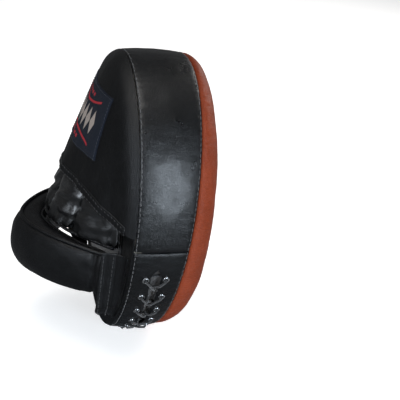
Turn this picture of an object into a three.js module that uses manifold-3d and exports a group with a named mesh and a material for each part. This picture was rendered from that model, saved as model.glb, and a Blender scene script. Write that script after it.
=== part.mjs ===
// A boxing focus mitt for one hand: an oval padded target, worn over four finger stalls under a
// leather cover, with a stuffed wrist bolster that swings a little on its two sewn ends.
// Frame, in millimetres: +X across the mitt, +Z towards the fingertips, the target faces -Y and the
// hand goes on the +Y side. The origin is the middle of the pad's back face, under the palm.
import * as THREE from "three";
import { mergeVertices } from "three/addons/utils/BufferGeometryUtils.js";
import Module from "manifold-3d";

const wasm = await Module();
wasm.setup();

// Driving dimensions
const HALF_WIDTH = 106; // of the oval pad, across
const HALF_HEIGHT = 137.5; // of the oval pad, along the fingers
const SIDE_DEPTH = 51; // of the side wall half way up, from the back seam to the target seam
const SIDE_TAPER = 0.054; // by how much the side wall is deeper for each millimetre up
const FRONT_Y = -76.8; // of the target's middle
const SHOULDER = 25; // width of the target's rounded edge
const SHOULDER_SHARE = 0.94; // share of the target's height that its rounded edge takes
const LEATHER = 1.8; // thickness of the side wall and the cover
const SKIN = 1.6; // thickness of the thinner leathers
const GAP = 0.3; // left between touching pieces
const CORE_BACK_Y = -8.5; // where the firm core foam ends and the soft palm foam starts
const FOAM_GAP = 0.5; // left between a foam layer and the skin round it
const JOIN_Z = -8; // height of the two joins between the upper and lower side walls

const PAIRS = 15; // of eyelets, along the lacing
const FIRST_PAIR_Z = -37; // height of the topmost pair on each side
const MIDDLE_Y = -24; // of the lacing
const ROW_OFFSET = 9.4; // of each eyelet row from the middle of the lacing
const SLIT_HALF = 3.9; // half the width of the laced slit
const SLIT_END = 1.2; // half the width of the slit at its two ends
const SLIT_OVERRUN = 10; // length of the slit past the topmost pairs
const LACE_RADIUS = 1;
const LACE_UNDER = 4.2; // depth of the lace's middle where it passes under the leather
const EYELET = { bore: 1.8, barrel: 2.3, flange: 3.5, hole: 2.6, length: 2.4, rise: 0.7 };
const CHANNEL_DEPTH = 7.8; // of the foam's channel behind the slit

const HEM_MIDDLE_Z = 26; // height of the cover's free edge, in the middle
const HEM_END_Z = 5; // height of the cover's free edge where it meets the back seam
const COVER_SLOPE = 0.36; // rise of the cover for each millimetre down from the top seam
const COVER_ROLL = 7; // height of the rounded roll where the cover leaves the top seam
const COVER_LOW_SIDE = 0.4; // share by which the cover is lower on its little-finger side
const COVER_BELLY = 1.2; // extra rise of the cover half way down
const COVER_EASE = 84; // distance above the hem over which the cover's section changes
const COVER_REACH = 0.985; // share of the pad's half width that the cover's columns span

const MOUTH_Z = -13; // height of the finger stalls' open ends
const MOUTH_RISE = 60; // height of the stalls' back over the pad's back, at the mouths
const STALL_TIP_Z = 78;
const STALL_COUNT = 4;
const STALL_HALF_SPAN = 80; // half the width of the four stalls together, at their mouths
const STALL_FOOT = 6; // height of the outer stalls' edges over the pad's back
const STALL_DEPTH = 25; // from a stall's back to its palm side
const STALL_WALL = 1.3;

const BOLSTER_SPAN = 80; // from the middle to the centre of either end
const BOLSTER_END_Y = 11; // height of the centre of the end faces over the pad's back
const BOLSTER_REACH = 64; // from the end faces out to the middle of the roll
// Half sizes of the bolster's section and the height of its middle, each at its ends and half way
const BOLSTER_SECTION = { outer: [6.5, 18.5], inner: [5, 16.5], tall: [25, 29.5], z: [-46, -48.5] };
const BOLSTER_BOW = 1.62; // power of the bow: 2 is a parabola, less is more pointed

// The end bands: their lowest, highest and last full-width heights, where they start on the pad and
// stop beside the bolster, and how far apart those two are at the lowest height
const BAND = { low: -98, high: -18, straight: -75, footX: 101, footY: 3.7, headX: 88, headY: 20, tail: 7 };

const group = new THREE.Group();

// Materials

const leather = (color, roughness) =>
  new THREE.MeshStandardMaterial({ color, roughness, metalness: 0 });

// Mesh helpers

// A closed solid's geometry from its corners and faces, turned inside out if its faces point inwards.
function closedGeometry(points, faces) {
  let volume = 0;
  for (const [a, b, c] of faces) {
    volume += points[a].dot(new THREE.Vector3().crossVectors(points[b], points[c]));
  }
  const index = volume < 0 ? faces.flatMap(([a, b, c]) => [a, c, b]) : faces.flat();
  const geometry = new THREE.BufferGeometry().setFromPoints(points);
  geometry.setIndex(index);
  geometry.computeVertexNormals();
  return geometry;
}

// The triangles that close a flat or nearly flat ring of points.
function capFaces(ring, first) {
  const middle = ring.reduce((sum, p) => sum.add(p), new THREE.Vector3());
  middle.divideScalar(ring.length);
  const normal = new THREE.Vector3();
  ring.forEach((p, i) => {
    const next = ring[(i + 1) % ring.length];
    const here = p.clone().sub(middle);
    normal.add(here.cross(next.clone().sub(middle)));
  });
  const up = new THREE.Vector3(0, 0, 1);
  const toFlat = new THREE.Quaternion().setFromUnitVectors(normal.normalize(), up);
  const flat = ring.map((p) => {
    const q = p.clone().sub(middle).applyQuaternion(toFlat);
    return new THREE.Vector2(q.x, q.y);
  });
  return THREE.ShapeUtils.triangulateShape(flat, []).map((face) => face.map((i) => i + first));
}

// A solid through rings of equally many points, closed by a cap at each end.
function loft(rings) {
  const count = rings[0].length;
  const faces = capFaces(rings[0], 0).map(([a, b, c]) => [a, c, b]);
  for (let r = 0; r + 1 < rings.length; r++) {
    for (let i = 0; i < count; i++) {
      const a = r * count + i;
      const b = r * count + ((i + 1) % count);
      faces.push([a, b, a + count], [b, b + count, a + count]);
    }
  }
  const last = (rings.length - 1) * count;
  faces.push(...capFaces(rings[rings.length - 1], last));
  return closedGeometry(rings.flat(), faces);
}

// A sheet of even thickness under the surface that surface(u, v) gives, u and v from 0 to 1.
function sheet(surface, columns, rows, thickness, lift = 0) {
  const step = 1e-3;
  const rings = [];
  for (let i = 0; i <= columns; i++) {
    const top = [];
    const under = [];
    for (let j = 0; j <= rows; j++) {
      const u = i / columns;
      const v = j / rows;
      const uStep = u < 0.5 ? step : -step;
      const vStep = v < 0.5 ? step : -step;
      const point = surface(u, v);
      const alongU = surface(u + uStep, v).sub(point).multiplyScalar(Math.sign(uStep));
      const alongV = surface(u, v + vStep).sub(point).multiplyScalar(Math.sign(vStep));
      const normal = alongU.cross(alongV).normalize();
      if (normal.y < 0) normal.negate();
      top.push(point.clone().addScaledVector(normal, lift));
      under.push(point.clone().addScaledVector(normal, lift - thickness));
    }
    rings.push([...top, ...under.reverse()]);
  }
  return loft(rings);
}

// A round cord through the points, with so many steps for each stretch between two of them.
function cord(points, radius, sides, stepsEach) {
  const curve = new THREE.CatmullRomCurve3(points, false, "centripetal");
  curve.getUtoTmapping = (u) => u;
  const section = new THREE.Shape();
  for (let i = 0; i <= sides; i++) {
    const angle = (2 * Math.PI * i) / sides;
    const x = radius * Math.cos(angle);
    const y = radius * Math.sin(angle);
    if (i === 0) section.moveTo(x, y);
    else section.lineTo(x, y);
  }
  return new THREE.ExtrudeGeometry(section, {
    steps: (points.length - 1) * stepsEach,
    extrudePath: curve,
    bevelEnabled: false,
  });
}

function toSolid(geometry) {
  const bare = geometry.clone();
  bare.deleteAttribute("normal");
  bare.deleteAttribute("uv");
  const merged = mergeVertices(bare, 1e-3);
  const vertProperties = new Float32Array(merged.attributes.position.array);
  const triVerts = new Uint32Array(merged.index.array);
  return new wasm.Manifold(new wasm.Mesh({ numProp: 3, vertProperties, triVerts }));
}

function fromSolid(solid) {
  const made = solid.getMesh();
  const geometry = new THREE.BufferGeometry();
  geometry.setAttribute("position", new THREE.BufferAttribute(made.vertProperties, 3));
  geometry.setIndex(new THREE.BufferAttribute(made.triVerts, 1));
  geometry.computeVertexNormals();
  return geometry;
}

function add(name, geometry, material) {
  const mesh = new THREE.Mesh(geometry, material);
  mesh.name = name;
  group.add(mesh);
  return mesh;
}

const mix = (a, b, share) => a + (b - a) * share;
const clamp01 = (value) => Math.min(1, Math.max(0, value));
const steps = (count) => Array.from({ length: count + 1 }, (_, i) => i / count);

// The pad's oval outline, by angle: 0 at +X, 90 degrees at +Z

function outward(angle) {
  const x = Math.cos(angle) / HALF_WIDTH;
  const z = Math.sin(angle) / HALF_HEIGHT;
  return new THREE.Vector3(x, 0, z).normalize();
}

// A point at a height over the side wall's outer face, at a place y across the wall.
function onSide(angle, y, height) {
  const edge = new THREE.Vector3(HALF_WIDTH * Math.cos(angle), y, HALF_HEIGHT * Math.sin(angle));
  return edge.addScaledVector(outward(angle), height);
}

const RING_POINTS = 44;

// A ring inside the outline; y is a number, or a function of the height.
function ovalRing(inset, y) {
  return Array.from({ length: RING_POINTS }, (_, i) => {
    const point = onSide((2 * Math.PI * i) / RING_POINTS, 0, -inset);
    point.y = typeof y === "function" ? y(point.z) : y;
    return point;
  });
}

const frontSeam = (z) => -SIDE_DEPTH - SIDE_TAPER * z;
const frontSeamAt = (angle) => frontSeam(HALF_HEIGHT * Math.sin(angle));

// A strip of the side wall between two angles, with y limits that may follow the angle.
function sideStrip(from, to, pieces, deep, high, yLow, yHigh) {
  return loft(
    steps(pieces).map((share) => {
      const angle = mix(from, to, share);
      const low = typeof yLow === "function" ? yLow(angle) : yLow;
      const top = typeof yHigh === "function" ? yHigh(angle) : yHigh;
      return [
        onSide(angle, low, deep),
        onSide(angle, low, high),
        onSide(angle, top, high),
        onSide(angle, top, deep),
      ];
    }),
  );
}

// The target and the foam layers

// The target's rings from its rim to its flat middle, thinned by an inset.
function targetRings(inset) {
  const turn = [0, 22.5, 45, 67.5, 90].map((degrees) => {
    const a = THREE.MathUtils.degToRad(degrees);
    return [SHOULDER * (1 - Math.cos(a)), SHOULDER_SHARE * Math.sin(a)];
  });
  const profile = [...turn, [40, 0.98], [56, 1]];
  return profile.map(([x, share], i) => {
    const lean = THREE.MathUtils.degToRad(Math.min(90, 22.5 * i));
    const y = (z) => mix(frontSeam(z) - GAP, FRONT_Y, share) + inset * Math.sin(lean);
    return ovalRing(x + inset * Math.cos(lean), y);
  });
}

function makeTarget() {
  const rings = [...targetRings(0).reverse(), ...targetRings(SKIN)];
  add("target_face", loft(rings), leather(0xa04a20, 0.5));
  add("strike_foam", loft(targetRings(SKIN + FOAM_GAP)), leather(0xd8d2c4, 0.9));
}

function makeFoamLayers(slit) {
  const inset = LEATHER + FOAM_GAP;
  const block = loft([ovalRing(inset, frontSeam), ovalRing(inset, CORE_BACK_Y)]);
  const spare = 4;
  const { from, to, front, back } = slit;
  const groove = sideStrip(from, to, 32, -CHANNEL_DEPTH, spare, front - spare, back + spare);
  add("core_foam", fromSolid(toSolid(block).subtract(toSolid(groove))), leather(0x4a4d52, 0.9));

  const bed = loft([ovalRing(inset, CORE_BACK_Y + GAP), ovalRing(inset, -FOAM_GAP)]);
  add("palm_bed_foam", bed, leather(0xcfc9bb, 0.9));
}

// The side wall, its slit, eyelets, tongue and lace

// Angles of the eyelet pairs, evenly spaced along the outline round the bottom.
function pairAngles() {
  const first = Math.PI - Math.asin(FIRST_PAIR_Z / HALF_HEIGHT);
  const last = 3 * Math.PI - first;
  const fine = 400;
  const lengths = [0];
  for (let i = 1; i <= fine; i++) {
    const here = onSide(mix(first, last, i / fine), 0, 0);
    const before = onSide(mix(first, last, (i - 1) / fine), 0, 0);
    lengths.push(lengths[i - 1] + here.distanceTo(before));
  }
  return steps(PAIRS - 1).map((share) => {
    const at = lengths.findIndex((length) => length >= share * lengths[fine] - 1e-6);
    return mix(first, last, at / fine);
  });
}

const pairs = pairAngles();
const oneRadian = onSide(pairs[0], 0, 0).distanceTo(onSide(pairs[0] + 1, 0, 0));
const overrun = SLIT_OVERRUN / oneRadian;
const slitRange = { from: pairs[0] - overrun, to: pairs[PAIRS - 1] + overrun };

// Half the slit's width: a lens at each end, narrower and even between.
function slitHalf(angle) {
  const fromEnd = Math.min(angle - slitRange.from, slitRange.to - angle) / overrun;
  const lens = Math.sin(clamp01(fromEnd) * Math.PI * 0.5);
  return mix(SLIT_END, SLIT_HALF + SLIT_END, lens) - SLIT_END * clamp01(fromEnd - 1);
}

function makeSideWall() {
  const join = Math.asin(-JOIN_Z / HALF_HEIGHT);
  const sew = GAP / 2 / HALF_HEIGHT;
  const front = frontSeamAt;
  const black = leather(0x101114, 0.32);
  const upper = sideStrip(-join + sew, Math.PI + join - sew, 44, -LEATHER, 0, front, -GAP);
  add("side_wall_upper", upper, black);

  const from = Math.PI + join + sew;
  const to = 2 * Math.PI - join - sew;
  let lower = toSolid(sideStrip(from, to, 44, -LEATHER, 0, front, -GAP));
  const slitLow = (angle) => MIDDLE_Y - slitHalf(angle);
  const slitHigh = (angle) => MIDDLE_Y + slitHalf(angle);
  const deep = -2 * LEATHER;
  const slit = sideStrip(slitRange.from, slitRange.to, 44, deep, LEATHER, slitLow, slitHigh);
  lower = lower.subtract(toSolid(slit));
  const holeShape = new THREE.CylinderGeometry(EYELET.hole, EYELET.hole, 4 * LEATHER, 8);
  forEachEyelet((angle, y) => {
    const hole = holeShape.clone();
    const axis = new THREE.Vector3(0, 1, 0);
    hole.applyQuaternion(new THREE.Quaternion().setFromUnitVectors(axis, outward(angle)));
    hole.translate(...onSide(angle, y, 0).toArray());
    lower = lower.subtract(toSolid(hole));
  });
  add("side_wall_lower", fromSolid(lower), black);
}

function forEachEyelet(visit) {
  pairs.forEach((angle, i) => {
    visit(angle, MIDDLE_Y + ROW_OFFSET, "back", i + 1);
    visit(angle, MIDDLE_Y - ROW_OFFSET, "front", i + 1);
  });
}

function makeEyelets() {
  const { bore, barrel, flange, length, rise } = EYELET;
  const seat = GAP + 0.05;
  const brow = mix(bore, flange, 0.55);
  const profile = [
    [bore, -length],
    [barrel, -length],
    [barrel, seat],
    [flange, seat],
    [brow, seat + rise],
    [bore, seat + 0.5 * rise],
    [bore, -length],
  ];
  const points = profile.map(([x, y]) => new THREE.Vector2(x, y));
  const shape = new THREE.LatheGeometry(points, 8);
  const metal = new THREE.MeshStandardMaterial({ color: 0xb9bbbe, roughness: 0.3, metalness: 1 });
  forEachEyelet((angle, y, row, number) => {
    const mesh = add("eyelet_" + row + "_" + String(number).padStart(2, "0"), shape, metal);
    mesh.position.copy(onSide(angle, y, 0));
    mesh.quaternion.setFromUnitVectors(new THREE.Vector3(0, 1, 0), outward(angle));
  });
}

function makeTongue() {
  const spare = 0.4 * overrun;
  const deep = -CHANNEL_DEPTH + 0.5;
  const high = deep + 1.2;
  const halfWidth = ROW_OFFSET + 3;
  const from = slitRange.from + spare;
  const to = slitRange.to - spare;
  const front = MIDDLE_Y - halfWidth;
  const back = MIDDLE_Y + halfWidth;
  add("lace_tongue", sideStrip(from, to, 32, deep, high, front, back), leather(0x3a3b3f, 0.8));
}

// One lace, criss-crossed. From each eyelet it lies over the leather to the slit, goes down through
// the slit, under the other edge and up through the next eyelet.
function makeLace() {
  const at = (angle, y, height) => onSide(angle, MIDDLE_Y + y, height);
  const up = 1.6 + LACE_RADIUS * 0.6;
  const upThrough = (i, side) => [
    at(pairs[i], side * ROW_OFFSET, -2.6),
    at(pairs[i], side * ROW_OFFSET, -0.4),
  ];
  // The share of the way from one eyelet to the next one of the strand, and the lace's height there
  const crossingHeights = (crossing) => [
    [0.035, up],
    [0.19, up],
    [0.3, up - 0.3],
    [0.5, crossing],
    [0.69, -LACE_UNDER + 0.5],
    [0.82, -LACE_UNDER - 0.1],
    [0.945, -LACE_UNDER],
  ];
  const strand = (firstSide, crossing) => {
    const route = [...upThrough(0, firstSide)];
    for (let i = 0; i + 1 < PAIRS; i++) {
      const side = i % 2 === 0 ? firstSide : -firstSide;
      for (const [share, height] of crossingHeights(crossing)) {
        const angle = mix(pairs[i], pairs[i + 1], share);
        route.push(at(angle, side * ROW_OFFSET * (1 - 2 * share), height));
      }
      route.push(...upThrough(i + 1, -side));
    }
    return route;
  };
  const over = strand(1, 1.0);
  const under = strand(-1, -1.9);
  const tuckedEnd = (side, share) => {
    const end = pairs[PAIRS - 1];
    const edge = overrun * share;
    return [
      at(end + 0.1 * edge, side * ROW_OFFSET * 0.9, up),
      at(end + 0.6 * edge, side * ROW_OFFSET * 0.5, up),
      at(end + 0.95 * edge, side * ROW_OFFSET * 0.12, 0.8),
      at(end + edge, side * ROW_OFFSET * 0.03, -2),
      at(end + edge, side * ROW_OFFSET * 0.02, -LACE_UNDER),
    ];
  };
  const first = pairs[0];
  const link = [0.6, 0, -0.6].map((share) => at(first, share * ROW_OFFSET, -LACE_UNDER - 0.2));
  const route = [
    ...tuckedEnd(1, 0.2).reverse(),
    ...over.reverse(),
    ...link,
    ...under,
    ...tuckedEnd(-1, 0.62),
  ];
  add("lace", cord(route, LACE_RADIUS, 5, 1), leather(0x141416, 0.7));
}

// The back panel, lining and care tag

const BACK_FACE_Y = SKIN;

function makeBack() {
  add("back_panel", loft([ovalRing(0, 0), ovalRing(0, BACK_FACE_Y)]), leather(0x101114, 0.35));

  const lining = { halfWidth: 72, top: 20, bottom: -94, corner: 30, thick: 1.2 };
  const low = BACK_FACE_Y + GAP;
  const across = lining.halfWidth - lining.corner;
  const corners = [
    [across, lining.top - lining.corner],
    [-across, lining.top - lining.corner],
    [-across, lining.bottom + lining.corner],
    [across, lining.bottom + lining.corner],
  ];
  const outline = (y) =>
    corners.flatMap(([x, z], quarter) =>
      steps(5).map((share) => {
        const angle = (quarter + share) * Math.PI * 0.5;
        const corner = new THREE.Vector3(Math.cos(angle), 0, Math.sin(angle));
        return corner.multiplyScalar(lining.corner).add(new THREE.Vector3(x, y, z));
      }),
    );
  const high = low + lining.thick;
  add("palm_lining", loft([outline(low), outline(high)]), leather(0x5b5d62, 0.9));

  const tag = { width: 20, thick: 0.5, length: 26, x: 32, z: -24 };
  const ribbon = new THREE.BoxGeometry(tag.width, tag.thick, tag.length);
  const label = add("care_tag", ribbon, leather(0xf2f2ee, 0.8));
  label.position.set(tag.x, high + GAP + tag.thick / 2, tag.z);
}

// The cover over the fingers

const ovalTop = (x) => HALF_HEIGHT * Math.sqrt(Math.max(0, 1 - (x / HALF_WIDTH) ** 2));
const ovalSide = (z) => HALF_WIDTH * Math.sqrt(Math.max(0, 1 - (z / HALF_HEIGHT) ** 2));
const hemHeight = (x) => mix(HEM_MIDDLE_Z, HEM_END_Z, Math.abs(x / HALF_WIDTH) ** 2);

// Rise of the cover over the pad's back along its middle line.
function middleRise(z) {
  const share = clamp01((z - HEM_MIDDLE_Z) / (HALF_HEIGHT - HEM_MIDDLE_Z));
  return COVER_SLOPE * (HALF_HEIGHT - z) + COVER_BELLY * Math.sin(Math.PI * share);
}

function coverRise(x, z) {
  const across = Math.abs(x) / HALF_WIDTH;
  const along = z / HALF_HEIGHT;
  const reach = Math.hypot(across, along);
  const roll = mix(2, COVER_ROLL, (along / reach) ** 2);
  const inside = Math.max(0, 1 - reach) * HALF_HEIGHT;
  const aboveHem = clamp01((z - HEM_MIDDLE_Z) / COVER_EASE);
  const fullness = mix(1.8, 2.5, aboveHem);
  const arch = 1 - Math.min(1, Math.abs(x) / Math.max(1, ovalSide(z))) ** fullness;
  const rise = roll * (1 - Math.exp(-inside / 5)) + middleRise(z) * arch;
  const lowSide = clamp01(x / (0.7 * ovalSide(z) + 1)) * mix(0.25, 1, aboveHem);
  return rise * (1 - COVER_LOW_SIDE * lowSide);
}

const COVER_FOOT = BACK_FACE_Y + GAP + LEATHER;
const coverPoint = (x, z) => new THREE.Vector3(x, COVER_FOOT + coverRise(x, z), z);

function makeCover() {
  const reach = HALF_WIDTH * COVER_REACH;
  const surface = (u, v) => {
    const x = reach * Math.sin(Math.PI * (u - 0.5));
    const z = mix(hemHeight(x), ovalTop(x) - 0.8, 1 - (1 - v) ** 1.4);
    return coverPoint(x, z);
  };
  add("finger_cover", sheet(surface, 22, 8, LEATHER), leather(0x111215, 0.35));

  const hem = { width: 7, thick: 1 };
  const hemReach = HALF_WIDTH * 0.93;
  const hemSurface = (u, v) => {
    const x = mix(-hemReach, hemReach, u);
    return coverPoint(x, hemHeight(x) + hem.width * v);
  };
  const hemLift = GAP + 0.5 + hem.thick;
  add("cover_hem", sheet(hemSurface, 26, 1, hem.thick, hemLift), leather(0x15161a, 0.4));

  const patch = { halfWidth: 53, low: 54, high: 109, thick: 0.8, lift: 1.6 };
  const patchSurface = (u, v) => {
    const halfWidth = mix(patch.halfWidth, patch.halfWidth - 9, v);
    return coverPoint(mix(-halfWidth, halfWidth, u), mix(patch.low, patch.high, v));
  };
  add("label_patch", sheet(patchSurface, 14, 7, patch.thick, patch.lift), leather(0x141d30, 0.8));
}

// The four finger stalls

function stallTop(x, z) {
  const covered = (level) => 0.95 * (COVER_ROLL + middleRise(level));
  const free = (z - MOUTH_Z) / (HEM_MIDDLE_Z - MOUTH_Z);
  const peak = z < HEM_MIDDLE_Z ? mix(MOUTH_RISE, covered(HEM_MIDDLE_Z), free) : covered(z);
  const span = STALL_HALF_SPAN - 0.12 * (z - MOUTH_Z);
  return STALL_FOOT + (peak - STALL_FOOT) * (1 - (x / span) ** 2);
}

const power = (value, exponent) => Math.sign(value) * Math.abs(value) ** exponent;

// One stall's section at a height z, thinned by a wall: rounded, under the bow of the stalls' back.
function stallRing(middle, halfWidth, z, wall) {
  const count = 16;
  const round = (value) => power(value, 0.75);
  return Array.from({ length: count }, (_, i) => {
    const angle = (2 * Math.PI * i) / count;
    const span = (STALL_HALF_SPAN - 0.12 * (z - MOUTH_Z)) / STALL_HALF_SPAN;
    const x = span * (middle + (halfWidth - wall) * round(Math.cos(angle)));
    const top = stallTop(x, z);
    const depth = Math.min(STALL_DEPTH, top - BACK_FACE_Y - 2.6);
    const half = (depth / 2) * Math.max(0.12, 1 - (2 * wall) / Math.max(depth, 8));
    return new THREE.Vector3(x, top - depth / 2 + half * round(Math.sin(angle)), z);
  });
}

function makeStalls() {
  const width = (2 * STALL_HALF_SPAN - 4) / STALL_COUNT;
  const levels = [0, 0.2, 0.44, 0.7, 0.9].map((share) => mix(MOUTH_Z, STALL_TIP_Z, share));
  const tipInset = 3;
  for (let k = 0; k < STALL_COUNT; k++) {
    const middle = width * (k - (STALL_COUNT - 1) / 2);
    const halfWidth = width / 2 - GAP;
    const outer = levels.map((z) => stallRing(middle, halfWidth, z, 0));
    const inner = levels.map((z) => stallRing(middle, halfWidth, z, STALL_WALL));
    const tip = stallRing(middle, halfWidth, STALL_TIP_Z, tipInset);
    const innerTip = stallRing(middle, halfWidth, STALL_TIP_Z - STALL_WALL, tipInset + STALL_WALL);
    const rings = [tip, ...outer.reverse(), ...inner, innerTip];
    add("finger_stall_" + (k + 1), loft(rings), leather(0x0d0d0f, 0.22));
  }
  const bindingRadius = 1.5;
  const route = steps(12).map((share) => {
    const x = mix(-1, 1, share) * (STALL_HALF_SPAN - 5);
    return new THREE.Vector3(x, stallTop(x, MOUTH_Z) - bindingRadius, MOUTH_Z - bindingRadius - GAP);
  });
  add("stall_binding", cord(route, bindingRadius, 8, 2), leather(0x101114, 0.35));
}

// The wrist bolster: a stuffed roll, bowed over the wrist

// A point of the bolster's section: across from -1 to 1 along the roll, around from 0 (away from the
// wrist) through a quarter turn (up), thinned by inset.
function bolsterPoint(across, around, inset) {
  const side = Math.abs(across);
  const swell = 1 - side ** 1.8;
  const slope = (BOLSTER_BOW * BOLSTER_REACH * side ** (BOLSTER_BOW - 1)) / BOLSTER_SPAN;
  const centre = new THREE.Vector3(BOLSTER_SPAN * across, BOLSTER_END_Y, 0);
  centre.y += BOLSTER_REACH * (1 - side ** BOLSTER_BOW);
  const away = new THREE.Vector3(Math.sign(across) * slope, 1, 0).normalize();
  const isOuter = Math.cos(around) > 0;
  const { outer, inner, tall, z } = BOLSTER_SECTION;
  const thick = mix(...(isOuter ? outer : inner), swell) - inset;
  const half = mix(...tall, swell) - inset;
  centre.addScaledVector(away, thick * power(Math.cos(around), isOuter ? 0.9 : 0.55));
  centre.z = mix(...z, swell) + half * power(Math.sin(around), 0.85);
  return centre;
}

function makeBolster() {
  const bows = steps(22).map((share) => -Math.cos(Math.PI * share));
  const window = THREE.MathUtils.degToRad(40);
  const arc = (from, to, count) => steps(count).map((share) => mix(from, to, share));
  const shellArc = arc(-Math.PI + window, Math.PI - window, 14);
  const shell = bows.map((bow) => [
    ...shellArc.map((around) => bolsterPoint(bow, around, 0)),
    ...shellArc.toReversed().map((around) => bolsterPoint(bow, around, SKIN)),
  ]);
  add("bolster_shell", loft(shell), leather(0x0f1013, 0.3));

  const sew = THREE.MathUtils.degToRad(3);
  const liningArc = arc(Math.PI - window + sew, Math.PI + window - sew, 5);
  const lining = bows.map((bow) => [
    ...liningArc.map((around) => bolsterPoint(bow, around, 0)),
    ...liningArc.toReversed().map((around) => bolsterPoint(bow, around, 1.2)),
  ]);
  add("bolster_lining", loft(lining), leather(0x2a2b2f, 0.8));

  const foamArc = arc(0, 2 * Math.PI, 14).slice(0, -1);
  const foam = bows.map((bow) => foamArc.map((around) => bolsterPoint(bow, around, SKIN + FOAM_GAP)));
  add("bolster_foam", loft(foam), leather(0xd0cabd, 0.9));

  const short = 0.2;
  const edge = (degrees, radius) => {
    const around = THREE.MathUtils.degToRad(degrees);
    const lift = radius + GAP + 0.2;
    const bowsBetween = steps(22).map((share) => -Math.cos(mix(short, Math.PI - short, share)));
    return cord(bowsBetween.map((bow) => bolsterPoint(bow, around, -lift)), radius, 8, 1);
  };
  add("bolster_piping", edge(62, 1.8), leather(0x101114, 0.35));
  add("bolster_binding", edge(128, 1.5), leather(0x101114, 0.35));
}

// A leather band at each end, from the pad's back up to the bolster's end, and on down beside it.
function bandPoint(side, z, share) {
  const below = clamp01((BAND.straight - z) / (BAND.straight - BAND.low));
  const foot = Math.min(BAND.footX, 0.95 * ovalSide(z));
  const headX = mix(BAND.headX, foot - BAND.tail, below);
  const headY = mix(BAND.headY, BAND.footY + BAND.tail, below ** 1.5);
  const bendX = mix(foot, headX, 0.85);
  const bendY = mix(BAND.footY, headY, 0.1);
  const x = mix(mix(foot, bendX, share), mix(bendX, headX, share), share);
  const y = mix(mix(BAND.footY, bendY, share), mix(bendY, headY, share), share);
  return new THREE.Vector3(side * x, y, z);
}

function makeBands() {
  [-1, 1].forEach((side) => {
    const surface = (u, v) => bandPoint(side, mix(BAND.low, BAND.high, u), v);
    const name = side < 0 ? "bolster_band_left" : "bolster_band_right";
    add(name, sheet(surface, 8, 4, SKIN), leather(0x0f1013, 0.3));
  });
}

makeTarget();
makeFoamLayers({ ...slitRange, front: MIDDLE_Y - ROW_OFFSET, back: MIDDLE_Y + ROW_OFFSET });
makeSideWall();
makeEyelets();
makeTongue();
makeLace();
makeBack();
makeCover();
makeStalls();
makeBolster();
makeBands();

export default group;
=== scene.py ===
"""A boxing focus mitt: leathers, stuffed wrist bolster, lacing, sewing and a plain stage."""

import math

import bmesh
import bpy
import numpy as np
from bpy.props import FloatProperty, FloatVectorProperty, IntProperty, PointerProperty
from mathutils import Matrix, Vector, noise
from mathutils.bvhtree import BVHTree
from mathutils.kdtree import KDTree


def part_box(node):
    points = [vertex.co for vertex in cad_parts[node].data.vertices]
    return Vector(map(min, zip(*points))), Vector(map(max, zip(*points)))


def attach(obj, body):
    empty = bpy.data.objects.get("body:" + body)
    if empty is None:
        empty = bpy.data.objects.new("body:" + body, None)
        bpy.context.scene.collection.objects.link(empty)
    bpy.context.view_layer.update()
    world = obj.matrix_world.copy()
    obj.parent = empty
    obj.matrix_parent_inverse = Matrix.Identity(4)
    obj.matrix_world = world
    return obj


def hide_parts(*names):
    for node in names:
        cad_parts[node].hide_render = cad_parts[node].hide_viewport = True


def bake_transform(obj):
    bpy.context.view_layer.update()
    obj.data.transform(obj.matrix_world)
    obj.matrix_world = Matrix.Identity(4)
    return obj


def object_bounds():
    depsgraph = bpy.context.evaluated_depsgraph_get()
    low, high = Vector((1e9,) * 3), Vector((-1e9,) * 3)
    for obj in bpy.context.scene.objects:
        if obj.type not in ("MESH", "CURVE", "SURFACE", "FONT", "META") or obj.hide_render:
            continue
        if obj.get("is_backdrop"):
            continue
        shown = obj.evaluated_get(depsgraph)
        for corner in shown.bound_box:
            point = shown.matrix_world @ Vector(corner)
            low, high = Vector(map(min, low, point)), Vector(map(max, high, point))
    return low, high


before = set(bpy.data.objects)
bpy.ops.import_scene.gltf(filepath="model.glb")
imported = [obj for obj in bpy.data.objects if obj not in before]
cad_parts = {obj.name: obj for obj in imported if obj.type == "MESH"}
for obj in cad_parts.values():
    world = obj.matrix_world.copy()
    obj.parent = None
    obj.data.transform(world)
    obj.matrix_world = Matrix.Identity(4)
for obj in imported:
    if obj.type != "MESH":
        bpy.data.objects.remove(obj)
CAD_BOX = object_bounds()

bl_info = {
    "name": "Focus Mitt",
    "version": (1, 0, 0),
    "blender": (4, 5, 0),
    "location": "View3D > Sidebar > Mitt",
    "description": "Makes the leathers, padding, lacing and sewing of a boxing focus mitt",
    "category": "Object",
}

MM = 0.001

# Shapes of the mitt, in millimetres. The pad's outline is an oval: +X across, +Z to the fingertips.
HALF_WIDTH, HALF_HEIGHT = 106.0, 137.5
SIDE_DEPTH, SIDE_TAPER, FRONT_Y = 51.0, 0.054, -76.8
BACK_SEAM_Y = -0.3
MIDDLE_Y = -24.0
SHOULDER, SHOULDER_SHARE = 25.0, 0.94
LEATHER, SKIN, FABRIC = 1.8, 1.6, 1.1
BACK_FACE_Y = SKIN
JOIN_Z = -8.0
PAIRS, FIRST_PAIR_Z, ROW_OFFSET = 15, -37.0, 9.4
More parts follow.
